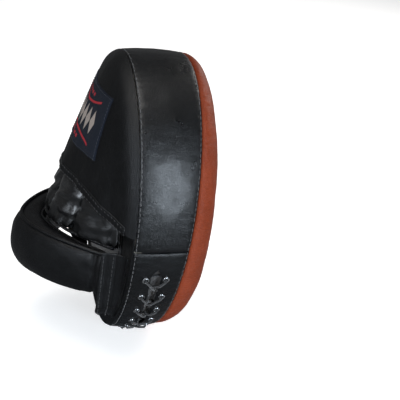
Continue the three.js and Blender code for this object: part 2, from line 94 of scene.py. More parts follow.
# The flat cut of the tongue in metres: its width and its length
SLIT_HALF, SLIT_OVERRUN = 5.1, 10.0
LACE_UNDER, CHANNEL_DEPTH = 4.2, 7.8
HOLE_RADIUS = 2.6
HEM_MIDDLE_Z, HEM_END_Z = 26.0, 5.0
COVER_SLOPE, COVER_ROLL, COVER_LOW_SIDE, COVER_BELLY = 0.36, 7.0, 0.4, 1.2
COVER_REACH, COVER_FOOT = 0.998, BACK_FACE_Y + 0.3 + LEATHER
MOUTH_Z, MOUTH_RISE, STALL_TIP_Z, STALL_COUNT = -13.0, 60.0, 78.0, 4
STALL_HANG = 7.0
STALL_HALF_SPAN, STALL_FOOT, STALL_DEPTH, STALL_WALL = 80.0, 6.0, 25.0, 1.3
BOLSTER_SPAN, BOLSTER_END_Y, BOLSTER_REACH, BOLSTER_BOW = 80.0, 11.0, 64.0, 1.62
PIPING_TURN, BINDING_TURN, LINING_TURN = math.radians(62), math.radians(128), math.radians(140)
PAD_CENTRE = (0.0, MIDDLE_Y, 0.0)

# Camera of the main view
CAMERA_AT = (-0.6869, 0.16928, 0.33552)
CAMERA_RIGHT = (-0.28921775, -0.94663921, 0.14222271)
CAMERA_UP = (0.44839535, -0.00270515, 0.89383124)
CAMERA_LENS, CAMERA_SENSOR = 72.83, 36.0


# Settings that a user would change

class MittLeathers(bpy.types.PropertyGroup):
    """Colours and gloss of the leathers."""

    target: FloatVectorProperty(
        name="Target", description="Colour of the striking face's leather",
        subtype="COLOR", size=3, min=0, max=1, default=(0.22, 0.034, 0.009))
    black: FloatVectorProperty(
        name="Black", description="Colour of the other leathers",
        subtype="COLOR", size=3, min=0, max=1, default=(0.0022, 0.0025, 0.0031))
    gloss: FloatProperty(
        name="Gloss", description="Roughness of the side leather, less is glossier",
        subtype="FACTOR", min=0.05, max=1, default=0.3)
    grain: FloatProperty(
        name="Grain", description="Width of one pebble of the grain",
        unit="LENGTH", min=0.0003, max=0.005, default=0.0011)


class MittSewing(bpy.types.PropertyGroup):
    """Sizes and colour of the stitches."""

    length: FloatProperty(
        name="Stitch", description="Length of one stitch",
        unit="LENGTH", min=0.001, max=0.01, default=0.0032)
    gap: FloatProperty(
        name="Gap", description="Gap between two stitches",
        unit="LENGTH", min=0.0003, max=0.01, default=0.0015)
    thread: FloatProperty(
        name="Thread", description="Radius of the thread",
        unit="LENGTH", min=0.0001, max=0.001, default=0.0003)
    light: FloatVectorProperty(
        name="Light thread", description="Colour of the thread on the seams",
        subtype="COLOR", size=3, min=0, max=1, default=(0.13, 0.13, 0.135))
    seed: IntProperty(
        name="Seed", description="Seed of the stitches' small turns",
        min=0, default=7)


class MittLacing(bpy.types.PropertyGroup):
    """Sizes of the lace and the eyelets."""

    lace: FloatProperty(
        name="Lace", description="Radius of the lace",
        unit="LENGTH", min=0.0005, max=0.002, default=0.00105)
    bore: FloatProperty(
        name="Bore", description="Inner radius of an eyelet",
        unit="LENGTH", min=0.001, max=0.003, default=0.0017)
    flange: FloatProperty(
        name="Flange", description="Outer radius of an eyelet",
        unit="LENGTH", min=0.002, max=0.006, default=0.0033)


class MittStuffing(bpy.types.PropertyGroup):
    """How full the bolster is."""

    pressure: FloatProperty(
        name="Pressure", description="Pressure of the stuffing while the cover fills",
        min=0, max=20, default=4)
    voxel: FloatProperty(
        name="Cloth cell", description="Cell size of the cover while it fills",
        unit="LENGTH", min=0.002, max=0.01, default=0.0042)
    most: FloatProperty(
        name="Most swell", description="Furthest that a point of the cover moves out",
        unit="LENGTH", min=0, max=0.02, default=0.004)


# Numbers and rows

def mix(a, b, share):
    return a + (b - a) * share


def clamp01(value):
    return np.clip(value, 0.0, 1.0)


def signed_power(value, power):
    return np.sign(value) * np.abs(value) ** power


def ripple(points, size, seed, depth=2):
    """Smooth noise from about -1 to 1 at points in millimetres; size is one cell, or one for each axis."""
    scale = 1 / np.broadcast_to(np.asarray(size, float), (3,))
    flat = np.asarray(points, float).reshape(-1, 3) * scale + seed * 17.3
    values = [noise.fractal(Vector(p), 1.0, 2.0, depth) for p in flat]
    return np.array(values).reshape(np.shape(points)[:-1])


def smooth_path(knots, each):
    """Points on the centripetal Catmull-Rom curve through the knots, each steps to a stretch."""
    knots = np.asarray(knots, float)
    ends = np.vstack([2 * knots[0] - knots[1], knots, 2 * knots[-1] - knots[-2]])
    made = []
    for p0, p1, p2, p3 in zip(ends, ends[1:], ends[2:], ends[3:]):
        t1 = max(np.linalg.norm(p1 - p0) ** 0.5, 1e-6)
        t2 = t1 + max(np.linalg.norm(p2 - p1) ** 0.5, 1e-6)
        t3 = t2 + max(np.linalg.norm(p3 - p2) ** 0.5, 1e-6)
        for t in np.linspace(t1, t2, each, endpoint=False):
            a = p0 * (t1 - t) / t1 + p1 * t / t1
            b = p1 * (t2 - t) / (t2 - t1) + p2 * (t - t1) / (t2 - t1)
            c = p2 * (t3 - t) / (t3 - t2) + p3 * (t - t2) / (t3 - t2)
            d = a * (t2 - t) / t2 + b * t / t2
            e = b * (t3 - t) / (t3 - t1) + c * (t - t1) / (t3 - t1)
            made.append(d * (t2 - t) / (t2 - t1) + e * (t - t1) / (t2 - t1))
    made.append(knots[-1])
    return np.array(made)


# Meshes

def link(name, mesh):
    obj = bpy.data.objects.new(name, mesh)
    bpy.context.scene.collection.objects.link(obj)
    return obj


def lengths_along(points, axis):
    steps = np.linalg.norm(np.diff(points, axis=axis), axis=-1).mean(axis=1 - axis)
    return np.concatenate([[0], np.cumsum(steps)]) * MM


def surface(name, points, wrap=False, close=False, inside=PAD_CENTRE):
    """An object from a grid of points in millimetres, its UV map in metres, its faces away from inside.

    wrap joins the last row to the first, and close shuts both ends of the columns with a fan."""
    points = np.asarray(points, float)
    rows, columns = points.shape[:2]
    round_it = np.concatenate([points, points[:1]]) if wrap else points
    across, along = lengths_along(round_it, 0), lengths_along(points, 1)
    corners, faces, uvs = points.reshape(-1, 3), [], []
    for i in range(len(round_it) - 1):
        for j in range(columns - 1):
            a, b = i * columns + j, ((i + 1) % rows) * columns + j
            faces.append((a, b, b + 1, a + 1))
            uvs += [(across[i], along[j]), (across[i + 1], along[j])]
            uvs += [(across[i + 1], along[j + 1]), (across[i], along[j + 1])]
    if close:
        for j, turned in ((0, True), (columns - 1, False)):
            middle = len(corners)
            corners = np.vstack([corners, points[:, j].mean(axis=0)])
            for i in range(rows):
                a, b = i * columns + j, ((i + 1) % rows) * columns + j
                faces.append((b, a, middle) if turned else (a, b, middle))
                uvs += [(across[i], along[j])] * 3
    mesh = bpy.data.meshes.new(name)
    mesh.from_pydata((corners * MM).tolist(), [], faces)
    layer = mesh.uv_layers.new(name="UVMap")
    layer.data.foreach_set("uv", np.array(uvs, np.float32).ravel())
    mesh.shade_smooth()
    obj = link(name, mesh)
    face_away(obj, inside)
    return obj


def face_away(obj, inside):
    """Turns every face round if they point towards inside, a point in millimetres, on the whole."""
    middle = Vector(inside) * MM
    out = sum(p.area * p.normal.dot(p.center - middle) for p in obj.data.polygons)
    if out < 0:
        obj.data.flip_normals()
    obj.data.update()


def merge_doubles(obj, distance=1e-6):
    bm = bmesh.new()
    bm.from_mesh(obj.data)
    bmesh.ops.remove_doubles(bm, verts=bm.verts, dist=distance)
    bm.to_mesh(obj.data)
    bm.free()


def set_attribute(obj, name, values, kind="FLOAT"):
    layer = obj.data.attributes.new(name, kind, "POINT")
    field = "vector" if kind == "FLOAT_VECTOR" else "value"
    layer.data.foreach_set(field, np.asarray(values, np.float32).ravel())


def thicken(obj, thickness, rounds=1):
    """Gives a surface its wall, inwards from its outer face, and rounds its edges."""
    wall = obj.modifiers.new("Wall", "SOLIDIFY")
    wall.thickness = thickness * MM
    wall.offset = -1
    if rounds:
        smooth = obj.modifiers.new("Smooth", "SUBSURF")
        smooth.levels = smooth.render_levels = rounds
    return obj


def settle(obj):
    """Turns the object with its modifiers into a plain mesh."""
    depsgraph = bpy.context.evaluated_depsgraph_get()
    mesh = bpy.data.meshes.new_from_object(obj.evaluated_get(depsgraph), depsgraph=depsgraph)
    obj.modifiers.clear()
    obj.data = mesh
    return obj


def tube(name, path, radius, sides=10, flat=1.0, out=None):
    """A tube along a path in millimetres with closed ends; flat squashes it towards the surface below."""
    path = np.asarray(path, float)
    tangent = np.gradient(path, axis=0)
    tangent /= np.linalg.norm(tangent, axis=1, keepdims=True)
    first = np.array([0.0, 0.0, 1.0]) if out is None else np.asarray(out[0], float)
    normal = first - tangent[0] * (first @ tangent[0])
    rings = []
    for i, (p, t) in enumerate(zip(path, tangent)):
        guide = normal if out is None else np.asarray(out[i], float)
        normal = guide - t * (guide @ t)
        normal /= np.linalg.norm(normal)
        beside = np.cross(t, normal)
        turn = 2 * math.pi * np.arange(sides) / sides
        rings.append(p + radius * (np.outer(np.cos(turn), beside) + flat * np.outer(np.sin(turn), normal)))
    made = surface(name, np.array(rings).transpose(1, 0, 2), wrap=True, close=True, inside=path.mean(axis=0))
    bm = bmesh.new()
    bm.from_mesh(made.data)
    bmesh.ops.recalc_face_normals(bm, faces=bm.faces)
    bm.to_mesh(made.data)
    bm.free()
    return made


def finish_piece(obj, material, body, slot, *nodes):
    """Gives a piece its material and body, and hides the parts of the frame that it stands for; slot is not
    used.
    """
    if material is not None:
        obj.data.materials.clear()
        obj.data.materials.append(material)
    if body is not None:
        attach(obj, body)
    if nodes:
        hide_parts(*nodes)
    return obj


# Shader nodes

def node(tree, kind, inputs=None, **settings):
    """Adds a node; inputs maps a socket's name or number to a value or to the socket that feeds it."""
    made = tree.nodes.new(kind)
    for key, value in settings.items():
        setattr(made, key, value)
    for key, value in (inputs or {}).items():
        socket = made.inputs[key]
        if isinstance(value, bpy.types.NodeSocket):
            tree.links.new(value, socket)
        else:
            socket.default_value = value
    return made


def maths(tree, operation, a, b=0.0, c=0.0):
    return node(tree, "ShaderNodeMath", {0: a, 1: b, 2: c}, operation=operation).outputs[0]


def remap(tree, value, low, high, to_low, to_high):
    keys = {"Value": value, "From Min": low, "From Max": high, "To Min": to_low, "To Max": to_high}
    return node(tree, "ShaderNodeMapRange", keys).outputs["Result"]


def blend_colours(tree, share, a, b):
    made = node(tree, "ShaderNodeMix", data_type="RGBA")
    for socket, value in ((made.inputs[0], share), (made.inputs[6], a), (made.inputs[7], b)):
        if isinstance(value, bpy.types.NodeSocket):
            tree.links.new(value, socket)
        else:
            socket.default_value = value
    return made.outputs[2]


def shader_group(name, inputs, outputs):
    """A new shader group with sockets from {name: (type, default)} and [(name, type)]."""
    tree = bpy.data.node_groups.new(name, "ShaderNodeTree")
    for key, (kind, default) in inputs.items():
        socket = tree.interface.new_socket(key, in_out="INPUT", socket_type="NodeSocket" + kind)
        if default is not None:
            socket.default_value = default
    for key, kind in outputs:
        tree.interface.new_socket(key, in_out="OUTPUT", socket_type="NodeSocket" + kind)
    return tree, tree.nodes.new("NodeGroupInput"), tree.nodes.new("NodeGroupOutput")


def put_group(tree, name, inputs):
    made = node(tree, "ShaderNodeGroup", node_tree=bpy.data.node_groups[name])
    for key, value in inputs.items():
        if isinstance(value, bpy.types.NodeSocket):
            tree.links.new(value, made.inputs[key])
        else:
            made.inputs[key].default_value = value
    return made.outputs


def make_grain_group():
    """Leather grain: pebbles between fine creases, longer wrinkles and patches of gloss."""
    tree, given, result = shader_group(
        "Leather grain",
        {"Vector": ("Vector", None), "Pebble": ("Float", 0.0011), "Pebble depth": ("Float", 0.5),
         "Wrinkle": ("Float", 0.012), "Wrinkle depth": ("Float", 0.5), "Stretch": ("Vector", (1, 1, 1))},
        [("Height", "Float"), ("Creases", "Float"), ("Patches", "Float")])
    at, pebble = given.outputs["Vector"], given.outputs["Pebble"]
    warp = node(tree, "ShaderNodeTexNoise", {"Vector": at, "Scale": 160.0, "Detail": 2.0})
    shift = node(tree, "ShaderNodeVectorMath", {0: warp.outputs["Color"], 1: (0.0012, 0.0012, 0.0012)},
                 operation="MULTIPLY")
    moved = node(tree, "ShaderNodeVectorMath", {0: at, 1: shift.outputs[0]}, operation="ADD").outputs[0]
    cells = node(tree, "ShaderNodeTexVoronoi", {"Vector": moved, "Scale": maths(tree, "DIVIDE", 1.0, pebble)},
                 feature="DISTANCE_TO_EDGE")
    crease = remap(tree, cells.outputs["Distance"], 0.0, 0.22, 0.0, 1.0)
    stretched = node(tree, "ShaderNodeVectorMath", {0: moved, 1: given.outputs["Stretch"]},
                     operation="MULTIPLY").outputs[0]
    lines = node(tree, "ShaderNodeTexNoise",
                 {"Vector": stretched, "Scale": maths(tree, "DIVIDE", 1.0, given.outputs["Wrinkle"]),
                  "Detail": 5.0, "Roughness": 0.6, "Distortion": 0.6})
    folds = maths(tree, "ABSOLUTE", maths(tree, "SUBTRACT", lines.outputs["Fac"], 0.5))
    folded = remap(tree, folds, 0.0, 0.16, 0.0, 1.0)
    soft = maths(tree, "MULTIPLY", folded, given.outputs["Wrinkle depth"])
    height = maths(tree, "MULTIPLY_ADD", crease, given.outputs["Pebble depth"], soft)
    patches = node(tree, "ShaderNodeTexNoise", {
        "Vector": at, "Scale": 34.0, "Detail": 4.0, "Roughness": 0.65})
    tree.links.new(height, result.inputs["Height"])
    tree.links.new(crease, result.inputs["Creases"])
    tree.links.new(remap(tree, patches.outputs["Fac"], 0.3, 0.7, 0.0, 1.0), result.inputs["Patches"])


def make_weave_group():
    """Plain weave on a UV map in metres: threads over and under each other."""
    tree, given, result = shader_group(
        "Weave", {"Vector": ("Vector", None), "Thread": ("Float", 0.0006)},
        [("Height", "Float"), ("Over", "Float")])
    scale = maths(tree, "DIVIDE", 1.0, given.outputs["Thread"])
    scaled = node(tree, "ShaderNodeVectorMath",
                  {0: given.outputs["Vector"], "Scale": scale}, operation="SCALE")
    split = node(tree, "ShaderNodeSeparateXYZ", {0: scaled.outputs[0]})
    warp, weft = (maths(tree, "ABSOLUTE", maths(tree, "SINE", maths(
                      tree, "MULTIPLY", split.outputs[i], math.pi)))
                  for i in (0, 1))
    over = node(tree, "ShaderNodeTexChecker",
                {"Vector": scaled.outputs[0], "Color1": (1, 1, 1, 1), "Color2": (0, 0, 0, 1), "Scale": 1.0})
    across = maths(tree, "MULTIPLY", warp, over.outputs["Fac"])
    along = maths(tree, "MULTIPLY", weft, maths(tree, "SUBTRACT", 1.0, over.outputs["Fac"]))
    tree.links.new(maths(tree, "ADD", across, along), result.inputs["Height"])
    tree.links.new(over.outputs["Fac"], result.inputs["Over"])


def make_dust_group():
    """Dust and handling marks: a soft mask, stronger where the edge attribute is high."""
    tree, given, result = shader_group(
        "Handling wear", {"Vector": ("Vector", None), "Edge": ("Float", 0.0), "Amount": ("Float", 0.2)},
        [("Mask", "Float")])
    spots = node(tree, "ShaderNodeTexNoise",
                 {"Vector": given.outputs["Vector"], "Scale": 90.0, "Detail": 6.0, "Roughness": 0.7})
    broken = remap(tree, spots.outputs["Fac"], 0.42, 0.75, 0.0, 1.0)
    worn = maths(tree, "MULTIPLY_ADD", given.outputs["Edge"], 0.8, 0.2)
    tree.links.new(maths(tree, "MULTIPLY", maths(tree, "MULTIPLY", broken, worn), given.outputs["Amount"]),
                   result.inputs["Mask"])


def new_material(name, **sockets):
    """A material whose Principled shader has the given fixed values."""
    made = bpy.data.materials.new(name)
    made.use_nodes = True
    shader = made.node_tree.nodes["Principled BSDF"]
    for key, value in sockets.items():
        shader.inputs[key.replace("_", " ").title().replace("Ior", "IOR")].default_value = value
    return made, made.node_tree, shader


def add_bump(tree, shader, height, distance, strength=1.0):
    bump = node(tree, "ShaderNodeBump", {"Height": height, "Distance": distance, "Strength": strength})
    tree.links.new(bump.outputs["Normal"], shader.inputs["Normal"])


def leather_material(name, colour, roughness, coat=0.0, depth=0.00012, pebble=0.0011, wrinkle=0.012,
                     wrinkle_depth=0.5, stretch=(1, 1, 1), wear=0.25, worn_colour=None, mottle=0.25,
                     shine=0.35):
    """Grained leather: painted shade along the grain's creases, patchy gloss, and paler rubbed edges."""
    made, tree, shader = new_material(
        name, coat_weight=coat, coat_roughness=0.24, specular_ior_level=shine)
    at = node(tree, "ShaderNodeTexCoord").outputs["Object"]
    grain = put_group(tree, "Leather grain", {
        "Vector": at, "Pebble": pebble, "Pebble depth": 0.55, "Wrinkle": wrinkle,
        "Wrinkle depth": wrinkle_depth, "Stretch": stretch})
    edge = node(tree, "ShaderNodeAttribute", attribute_name="edge").outputs["Fac"]
    worn = put_group(tree, "Handling wear", {"Vector": at, "Edge": edge, "Amount": wear})["Mask"]
    dark = tuple(c * (1 - mottle) for c in colour) + (1,)
    pale = tuple(min(1, c * (1 + mottle)) for c in colour) + (1,)
    body = blend_colours(tree, grain["Patches"], dark, pale)
    # Painted shade: the colour is painted darker along the grain's creases.
    crease_shaded = blend_colours(tree, remap(tree, grain["Creases"], 0.0, 1.0, 0.35, 0.0), body,
                            tuple(c * 0.45 for c in colour) + (1,))
    rubbed = worn_colour or tuple(min(1, c * 2.2 + 0.008) for c in colour)
    tree.links.new(blend_colours(tree, worn, crease_shaded, rubbed + (1,)), shader.inputs["Base Color"])
    gloss = remap(tree, grain["Patches"], 0.0, 1.0, roughness * 0.85, roughness * 1.2)
    tree.links.new(maths(tree, "MULTIPLY_ADD", worn, 0.35, gloss), shader.inputs["Roughness"])
    add_bump(tree, shader, grain["Height"], depth)
    return made


def cloth_material(name, colour, pale, thread=0.0006, roughness=0.85, sheen=0.3):
    """Woven cloth on its own UV map."""
    made, tree, shader = new_material(
        name, roughness=roughness, sheen_weight=sheen, sheen_roughness=0.5)
    uv = node(tree, "ShaderNodeUVMap", uv_map="UVMap").outputs["UV"]
    weave = put_group(tree, "Weave", {"Vector": uv, "Thread": thread})
    # Painted shade and highlight: the cloth is darker in the hollows between threads and paler on the
    # threads' crowns.
    tint = blend_colours(tree, weave["Height"], colour + (1,), pale + (1,))
    at = node(tree, "ShaderNodeTexCoord").outputs["Object"]
    soil = put_group(tree, "Handling wear", {"Vector": at, "Edge": 0.5, "Amount": 0.35})["Mask"]
    dusty = tuple(0.5 * (a + b) * 0.6 for a, b in zip(colour, pale)) + (1,)
    tree.links.new(blend_colours(tree, soil, tint, dusty), shader.inputs["Base Color"])
    add_bump(tree, shader, weave["Height"], 0.0002)
    return made


def label_material():
    """Navy woven label with a plain border, two arcs and a row of lozenges."""
    made, tree, shader = new_material(
        "Woven label", roughness=0.8, sheen_weight=0.03, specular_ior_level=0.12)
    uv = node(tree, "ShaderNodeUVMap", uv_map="UVMap").outputs["UV"]
    split = node(tree, "ShaderNodeSeparateXYZ", {0: uv})
    x = maths(tree, "SUBTRACT", split.outputs[0], 0.052)
    y = maths(tree, "SUBTRACT", split.outputs[1], 0.0285)
    weave = put_group(tree, "Weave", {"Vector": uv, "Thread": 0.00045})

    def band(value, centre, half):
        return maths(tree, "LESS_THAN", maths(tree, "ABSOLUTE", maths(tree, "SUBTRACT", value, centre)), half)

    # Arcs open away from the middle, like brackets laid on their backs
    bent = maths(tree, "MULTIPLY", maths(tree, "MULTIPLY", x, x), 5.0)
    arcs = band(maths(tree, "SUBTRACT", maths(tree, "ABSOLUTE", y), bent), 0.0135, 0.0010)
    short = maths(tree, "LESS_THAN", maths(tree, "ABSOLUTE", x), 0.036)
    dashes = maths(tree, "GREATER_THAN", maths(tree, "SINE", maths(tree, "MULTIPLY", x, 900.0)), -0.2)
    dashed = maths(tree, "MULTIPLY", band(maths(tree, "ABSOLUTE", y), 0.0205, 0.0015), dashes)
    red = maths(tree, "MULTIPLY", short, maths(tree, "MAXIMUM", arcs, maths(
        tree, "MULTIPLY", dashed, maths(tree, "LESS_THAN", maths(tree, "ABSOLUTE", x), 0.016))))
    # Lozenges: |x| in a cell plus |y|
    cell = maths(tree, "PINGPONG", x, 0.0052)
    lozenge = maths(tree, "LESS_THAN", maths(tree, "ADD", cell, maths(
        tree, "MULTIPLY", maths(tree, "ABSOLUTE", y), 0.42)), 0.0047)
    beige = maths(tree, "MULTIPLY", lozenge, maths(tree, "LESS_THAN", maths(tree, "ABSOLUTE", x), 0.0365))
    # Painted shade and highlight: navy and beige threads are darker in the hollows between threads and paler
    # on their crowns.
    navy = blend_colours(tree, weave["Height"], (0.003, 0.005, 0.011, 1), (0.009, 0.014, 0.027, 1))
    threads = blend_colours(tree, weave["Height"], (0.24, 0.20, 0.18, 1), (0.48, 0.42, 0.38, 1))
    with_beige = blend_colours(tree, beige, navy, threads)
    tree.links.new(blend_colours(tree, red, with_beige, (0.42, 0.02, 0.03, 1)), shader.inputs["Base Color"])
    raised = maths(tree, "MULTIPLY_ADD", maths(tree, "MAXIMUM", red, beige), 0.8, weave["Height"])
    add_bump(tree, shader, raised, 0.00025)
    return made


def lace_material():
    """Braided cord: slanting strands both ways on the lace's UV map."""
    made, tree, shader = new_material("Lace cord", roughness=0.6, sheen_weight=0.3)
    uv = node(tree, "ShaderNodeUVMap", uv_map="UVMap").outputs["UV"]
    split = node(tree, "ShaderNodeSeparateXYZ", {0: uv})
    strands = []
    for sign in (1, -1):
        slant = maths(tree, "MULTIPLY_ADD", split.outputs[0], sign * 3800.0,
                      maths(tree, "MULTIPLY", split.outputs[1], 3800.0))
        strands.append(maths(tree, "ABSOLUTE", maths(tree, "SINE", slant)))
    braid = maths(tree, "MAXIMUM", *strands)
    # Painted shade and highlight: the cord is darker in the grooves between strands and paler on the strands.
    tree.links.new(blend_colours(tree, braid, (0.003, 0.003, 0.004, 1), (0.022, 0.022, 0.024, 1)),
                   shader.inputs["Base Color"])
    add_bump(tree, shader, braid, 0.0002)
    return made


def thread_material(name, colour):
    """Twisted sewing thread with small changes of tone."""
    made, tree, shader = new_material(name, roughness=0.55, sheen_weight=0.2)
    at = node(tree, "ShaderNodeTexCoord").outputs["Object"]
    tone = node(tree, "ShaderNodeTexNoise", {"Vector": at, "Scale": 420.0, "Detail": 3.0})
    dark = tuple(c * 0.45 for c in colour) + (1,)
    tree.links.new(blend_colours(tree, tone.outputs["Fac"], dark, colour + (1,)), shader.inputs["Base Color"])
    twist = node(tree, "ShaderNodeTexWave", {"Vector": at, "Scale": 700.0, "Distortion": 2.0},
                 bands_direction="DIAGONAL")
    add_bump(tree, shader, twist.outputs["Fac"], 0.0001)
    return made


def metal_material():
    """Nickelled eyelet: bright, with fine scratches and dull spots."""
    made, tree, shader = new_material("Eyelet metal", metallic=1.0)
    at = node(tree, "ShaderNodeTexCoord").outputs["Object"]
    worn = put_group(tree, "Handling wear", {"Vector": at, "Edge": 0.6, "Amount": 0.6})["Mask"]
    tree.links.new(blend_colours(tree, worn, (0.72, 0.73, 0.75, 1), (0.35, 0.33, 0.3, 1)),
                   shader.inputs["Base Color"])
    tree.links.new(remap(tree, worn, 0.0, 1.0, 0.18, 0.6), shader.inputs["Roughness"])
    scratches = node(tree, "ShaderNodeTexNoise", {"Vector": at, "Scale": 1500.0, "Detail": 2.0})
    add_bump(tree, shader, scratches.outputs["Fac"], 0.00003)
    return made


def foam_material(name, colour, cell):
    """Cut foam with open cells."""
    made, tree, shader = new_material(name, roughness=0.95)
    at = node(tree, "ShaderNodeTexCoord").outputs["Object"]
    cells = node(tree, "ShaderNodeTexVoronoi", {"Vector": at, "Scale": 1 / cell}, feature="F1")
    # Painted shade: each open cell is painted darker towards its pit.
    tree.links.new(blend_colours(tree, cells.outputs["Distance"], tuple(c * 0.6 for c in colour) + (1,),
                                 colour + (1,)), shader.inputs["Base Color"])
    add_bump(tree, shader, cells.outputs["Distance"], 0.0005)
    return made


def material(name):
    """One of the mitt's materials, made when it is first asked for."""
    if name in bpy.data.materials:
        return bpy.data.materials[name]
    if "Leather grain" not in bpy.data.node_groups:
        make_grain_group()
        make_weave_group()
        make_dust_group()
    skin = bpy.context.scene.mitt_leathers
    black, gloss, pebble = tuple(skin.black), skin.gloss, skin.grain
    makers = {
        "Target leather": lambda: leather_material(
            name, tuple(skin.target), 0.42, depth=0.0003, pebble=0.0016, wrinkle=0.011, wrinkle_depth=1.1,
            stretch=(0.45, 0.45, 1.7), wear=0.2, worn_colour=(0.30, 0.075, 0.03), mottle=0.14, shine=0.22),
        "Side leather": lambda: leather_material(
            name, black, gloss, coat=0.25, depth=0.00014, pebble=pebble, wrinkle=0.014,
            stretch=(1, 0.5, 1.4), wear=0.3),
        "Cover leather": lambda: leather_material(
            name, tuple(c * 0.9 for c in black), gloss * 1.35, depth=0.00016, pebble=pebble * 1.1,
            wrinkle=0.02, stretch=(1, 1, 0.5), wear=0.35),
        "Bolster leather": lambda: leather_material(
            name, tuple(c * 0.8 for c in black), gloss * 1.25, coat=0.1, depth=0.00014, pebble=pebble,
            wrinkle=0.016, wear=0.3),
        "Stall leather": lambda: leather_material(
            name, tuple(c * 0.7 for c in black), gloss * 0.7, coat=1.0, depth=0.0001, pebble=pebble * 0.7,
            wrinkle=0.010, wrinkle_depth=1.3, stretch=(0.6, 0.6, 1.5), wear=0.15, shine=0.7),
        "Lining": lambda: cloth_material(name, (0.03, 0.031, 0.034), (0.11, 0.112, 0.12), 0.0007),
        "Tongue fabric": lambda: cloth_material(name, (0.02, 0.018, 0.018), (0.075, 0.07, 0.068), 0.0008),
        "Tag fabric": lambda: cloth_material(name, (0.62, 0.62, 0.6), (0.86, 0.86, 0.84), 0.0004, sheen=0.1),
        "Woven label": label_material,
        "Lace cord": lace_material,
        "Eyelet metal": metal_material,
        "Light thread": lambda: thread_material(name, tuple(bpy.context.scene.mitt_sewing.light)),
        "Dark thread": lambda: thread_material(name, (0.035, 0.035, 0.038)),
        "Navy thread": lambda: thread_material(name, (0.02, 0.03, 0.055)),
        "Soft foam": lambda: foam_material(name, (0.68, 0.63, 0.53), 0.0016),
        "Dense foam": lambda: foam_material(name, (0.07, 0.075, 0.082), 0.0009),
    }
    made = makers[name]()
    made.name = name
    return made


# The pad's outline and the surfaces of its leathers, in millimetres

def outward(angle):
    x, z = np.cos(angle) / HALF_WIDTH, np.sin(angle) / HALF_HEIGHT
    length = np.hypot(x, z)
    return np.stack([x / length, np.zeros_like(length), z / length], -1)


def on_side(angle, y, height=0.0):
    angle, y, height = np.broadcast_arrays(*(np.asarray(v, float) for v in (angle, y, height)))
    edge = np.stack([HALF_WIDTH * np.cos(angle), y, HALF_HEIGHT * np.sin(angle)], -1)
    return edge + outward(angle) * height[..., None]


def front_seam(z):
    return -SIDE_DEPTH - SIDE_TAPER * z


def roll_in(distance, depth, width):
    """How far a leather's edge turns down where it is sewn, by its distance from the seam."""
    return -depth * np.exp(-np.maximum(distance, 0) / width)


JOIN_TURN = math.asin(-JOIN_Z / HALF_HEIGHT)


def side_height(angle, y):
    """Height of the side leather over the oval: full between its seams, with soft dents."""
    base = on_side(angle, y)
    front = front_seam(base[..., 2])
    across = 2 * y / front - 1
    full = 1.5 * (1 - across**2)
    seams = roll_in(y - front, 1.7, 1.3) + roll_in(-y, 1.7, 1.3)
    join = roll_in(np.abs(base[..., 2] - JOIN_Z), 1.1, 1.6)
    dents = 0.55 * ripple(base, (34, 20, 30), 1) + 0.22 * ripple(base, (9, 12, 9), 2)
    pucker = 0.35 * np.sin(angle * 97 + 2 * np.sin(angle * 13)) * (
        np.exp(-(y - front) / 4) + np.exp(y / 4))
    return full + seams + join + dents * (1 - 0.6 * np.abs(across)) + pucker


def pair_angles():
    """Angles of the eyelet pairs, evenly spaced along the outline round the bottom."""
    first = math.pi - math.asin(FIRST_PAIR_Z / HALF_HEIGHT)
    fine = np.linspace(first, 3 * math.pi - first, 2001)
    run = np.concatenate([[0], np.cumsum(np.linalg.norm(np.diff(on_side(fine, 0.0), axis=0), axis=1))])
    return np.interp(np.linspace(0, run[-1], PAIRS), run, fine)


PAIR_ANGLES = pair_angles()
OVERRUN = SLIT_OVERRUN / np.linalg.norm(on_side(PAIR_ANGLES[0], 0.0) - on_side(PAIR_ANGLES[0] + 1, 0.0))
SLIT_FROM, SLIT_TO = PAIR_ANGLES[0] - OVERRUN, PAIR_ANGLES[-1] + OVERRUN


def slit_half(angle):
    """Half the laced slit's width: pointed at both ends, with small scallops where the lace pulls."""
    from_end = np.minimum(angle - SLIT_FROM, SLIT_TO - angle) / OVERRUN
    half = SLIT_HALF * np.sin(clamp01(from_end) * math.pi / 2) - 1.2 * clamp01(from_end - 1)
    step = PAIR_ANGLES[1] - PAIR_ANGLES[0]
    pulled = 0.45 * np.cos(2 * math.pi * (angle - PAIR_ANGLES[0]) / step) * clamp01(from_end - 0.6)
    return np.where(from_end > 0, half - pulled, 0.0)


def target_profile():
    """The striking face from its seam to its flat middle, as insets and functions of the height."""
    turn = np.radians(np.linspace(0, 90, 15))
    inset = np.concatenate([SHOULDER * (1 - np.cos(turn)), np.linspace(SHOULDER, 56, 7)[1:]])
    flat = 1 - (1 - SHOULDER_SHARE) * (1 - np.linspace(0, 1, 7)[1:]) ** 2
    share = np.concatenate([SHOULDER_SHARE * np.sin(turn), flat])
    return inset, [lambda z, part=part: mix(front_seam(z) + BACK_SEAM_Y, FRONT_Y, part) for part in share]


def oval_dish(insets, ys, around, middle_rings):
    """A grid of rings inside the oval, the innermost drawn together to a point."""
    angle = np.linspace(0, 2 * math.pi, around, endpoint=False)
    rings = []
    for inset, y in zip(insets, ys):
        ring = on_side(angle, 0.0, -inset)
        ring[:, 1] = y(ring[:, 2]) if callable(y) else y
        rings.append(ring)
    last = rings[-1]
    middle = last.mean(axis=0)
    for share in np.linspace(0, 1, middle_rings + 2)[1:-1]:
        rings.append(mix(last, middle, share))
    return np.stack(rings, 1), np.broadcast_to(angle[:, None], (around, len(rings)))


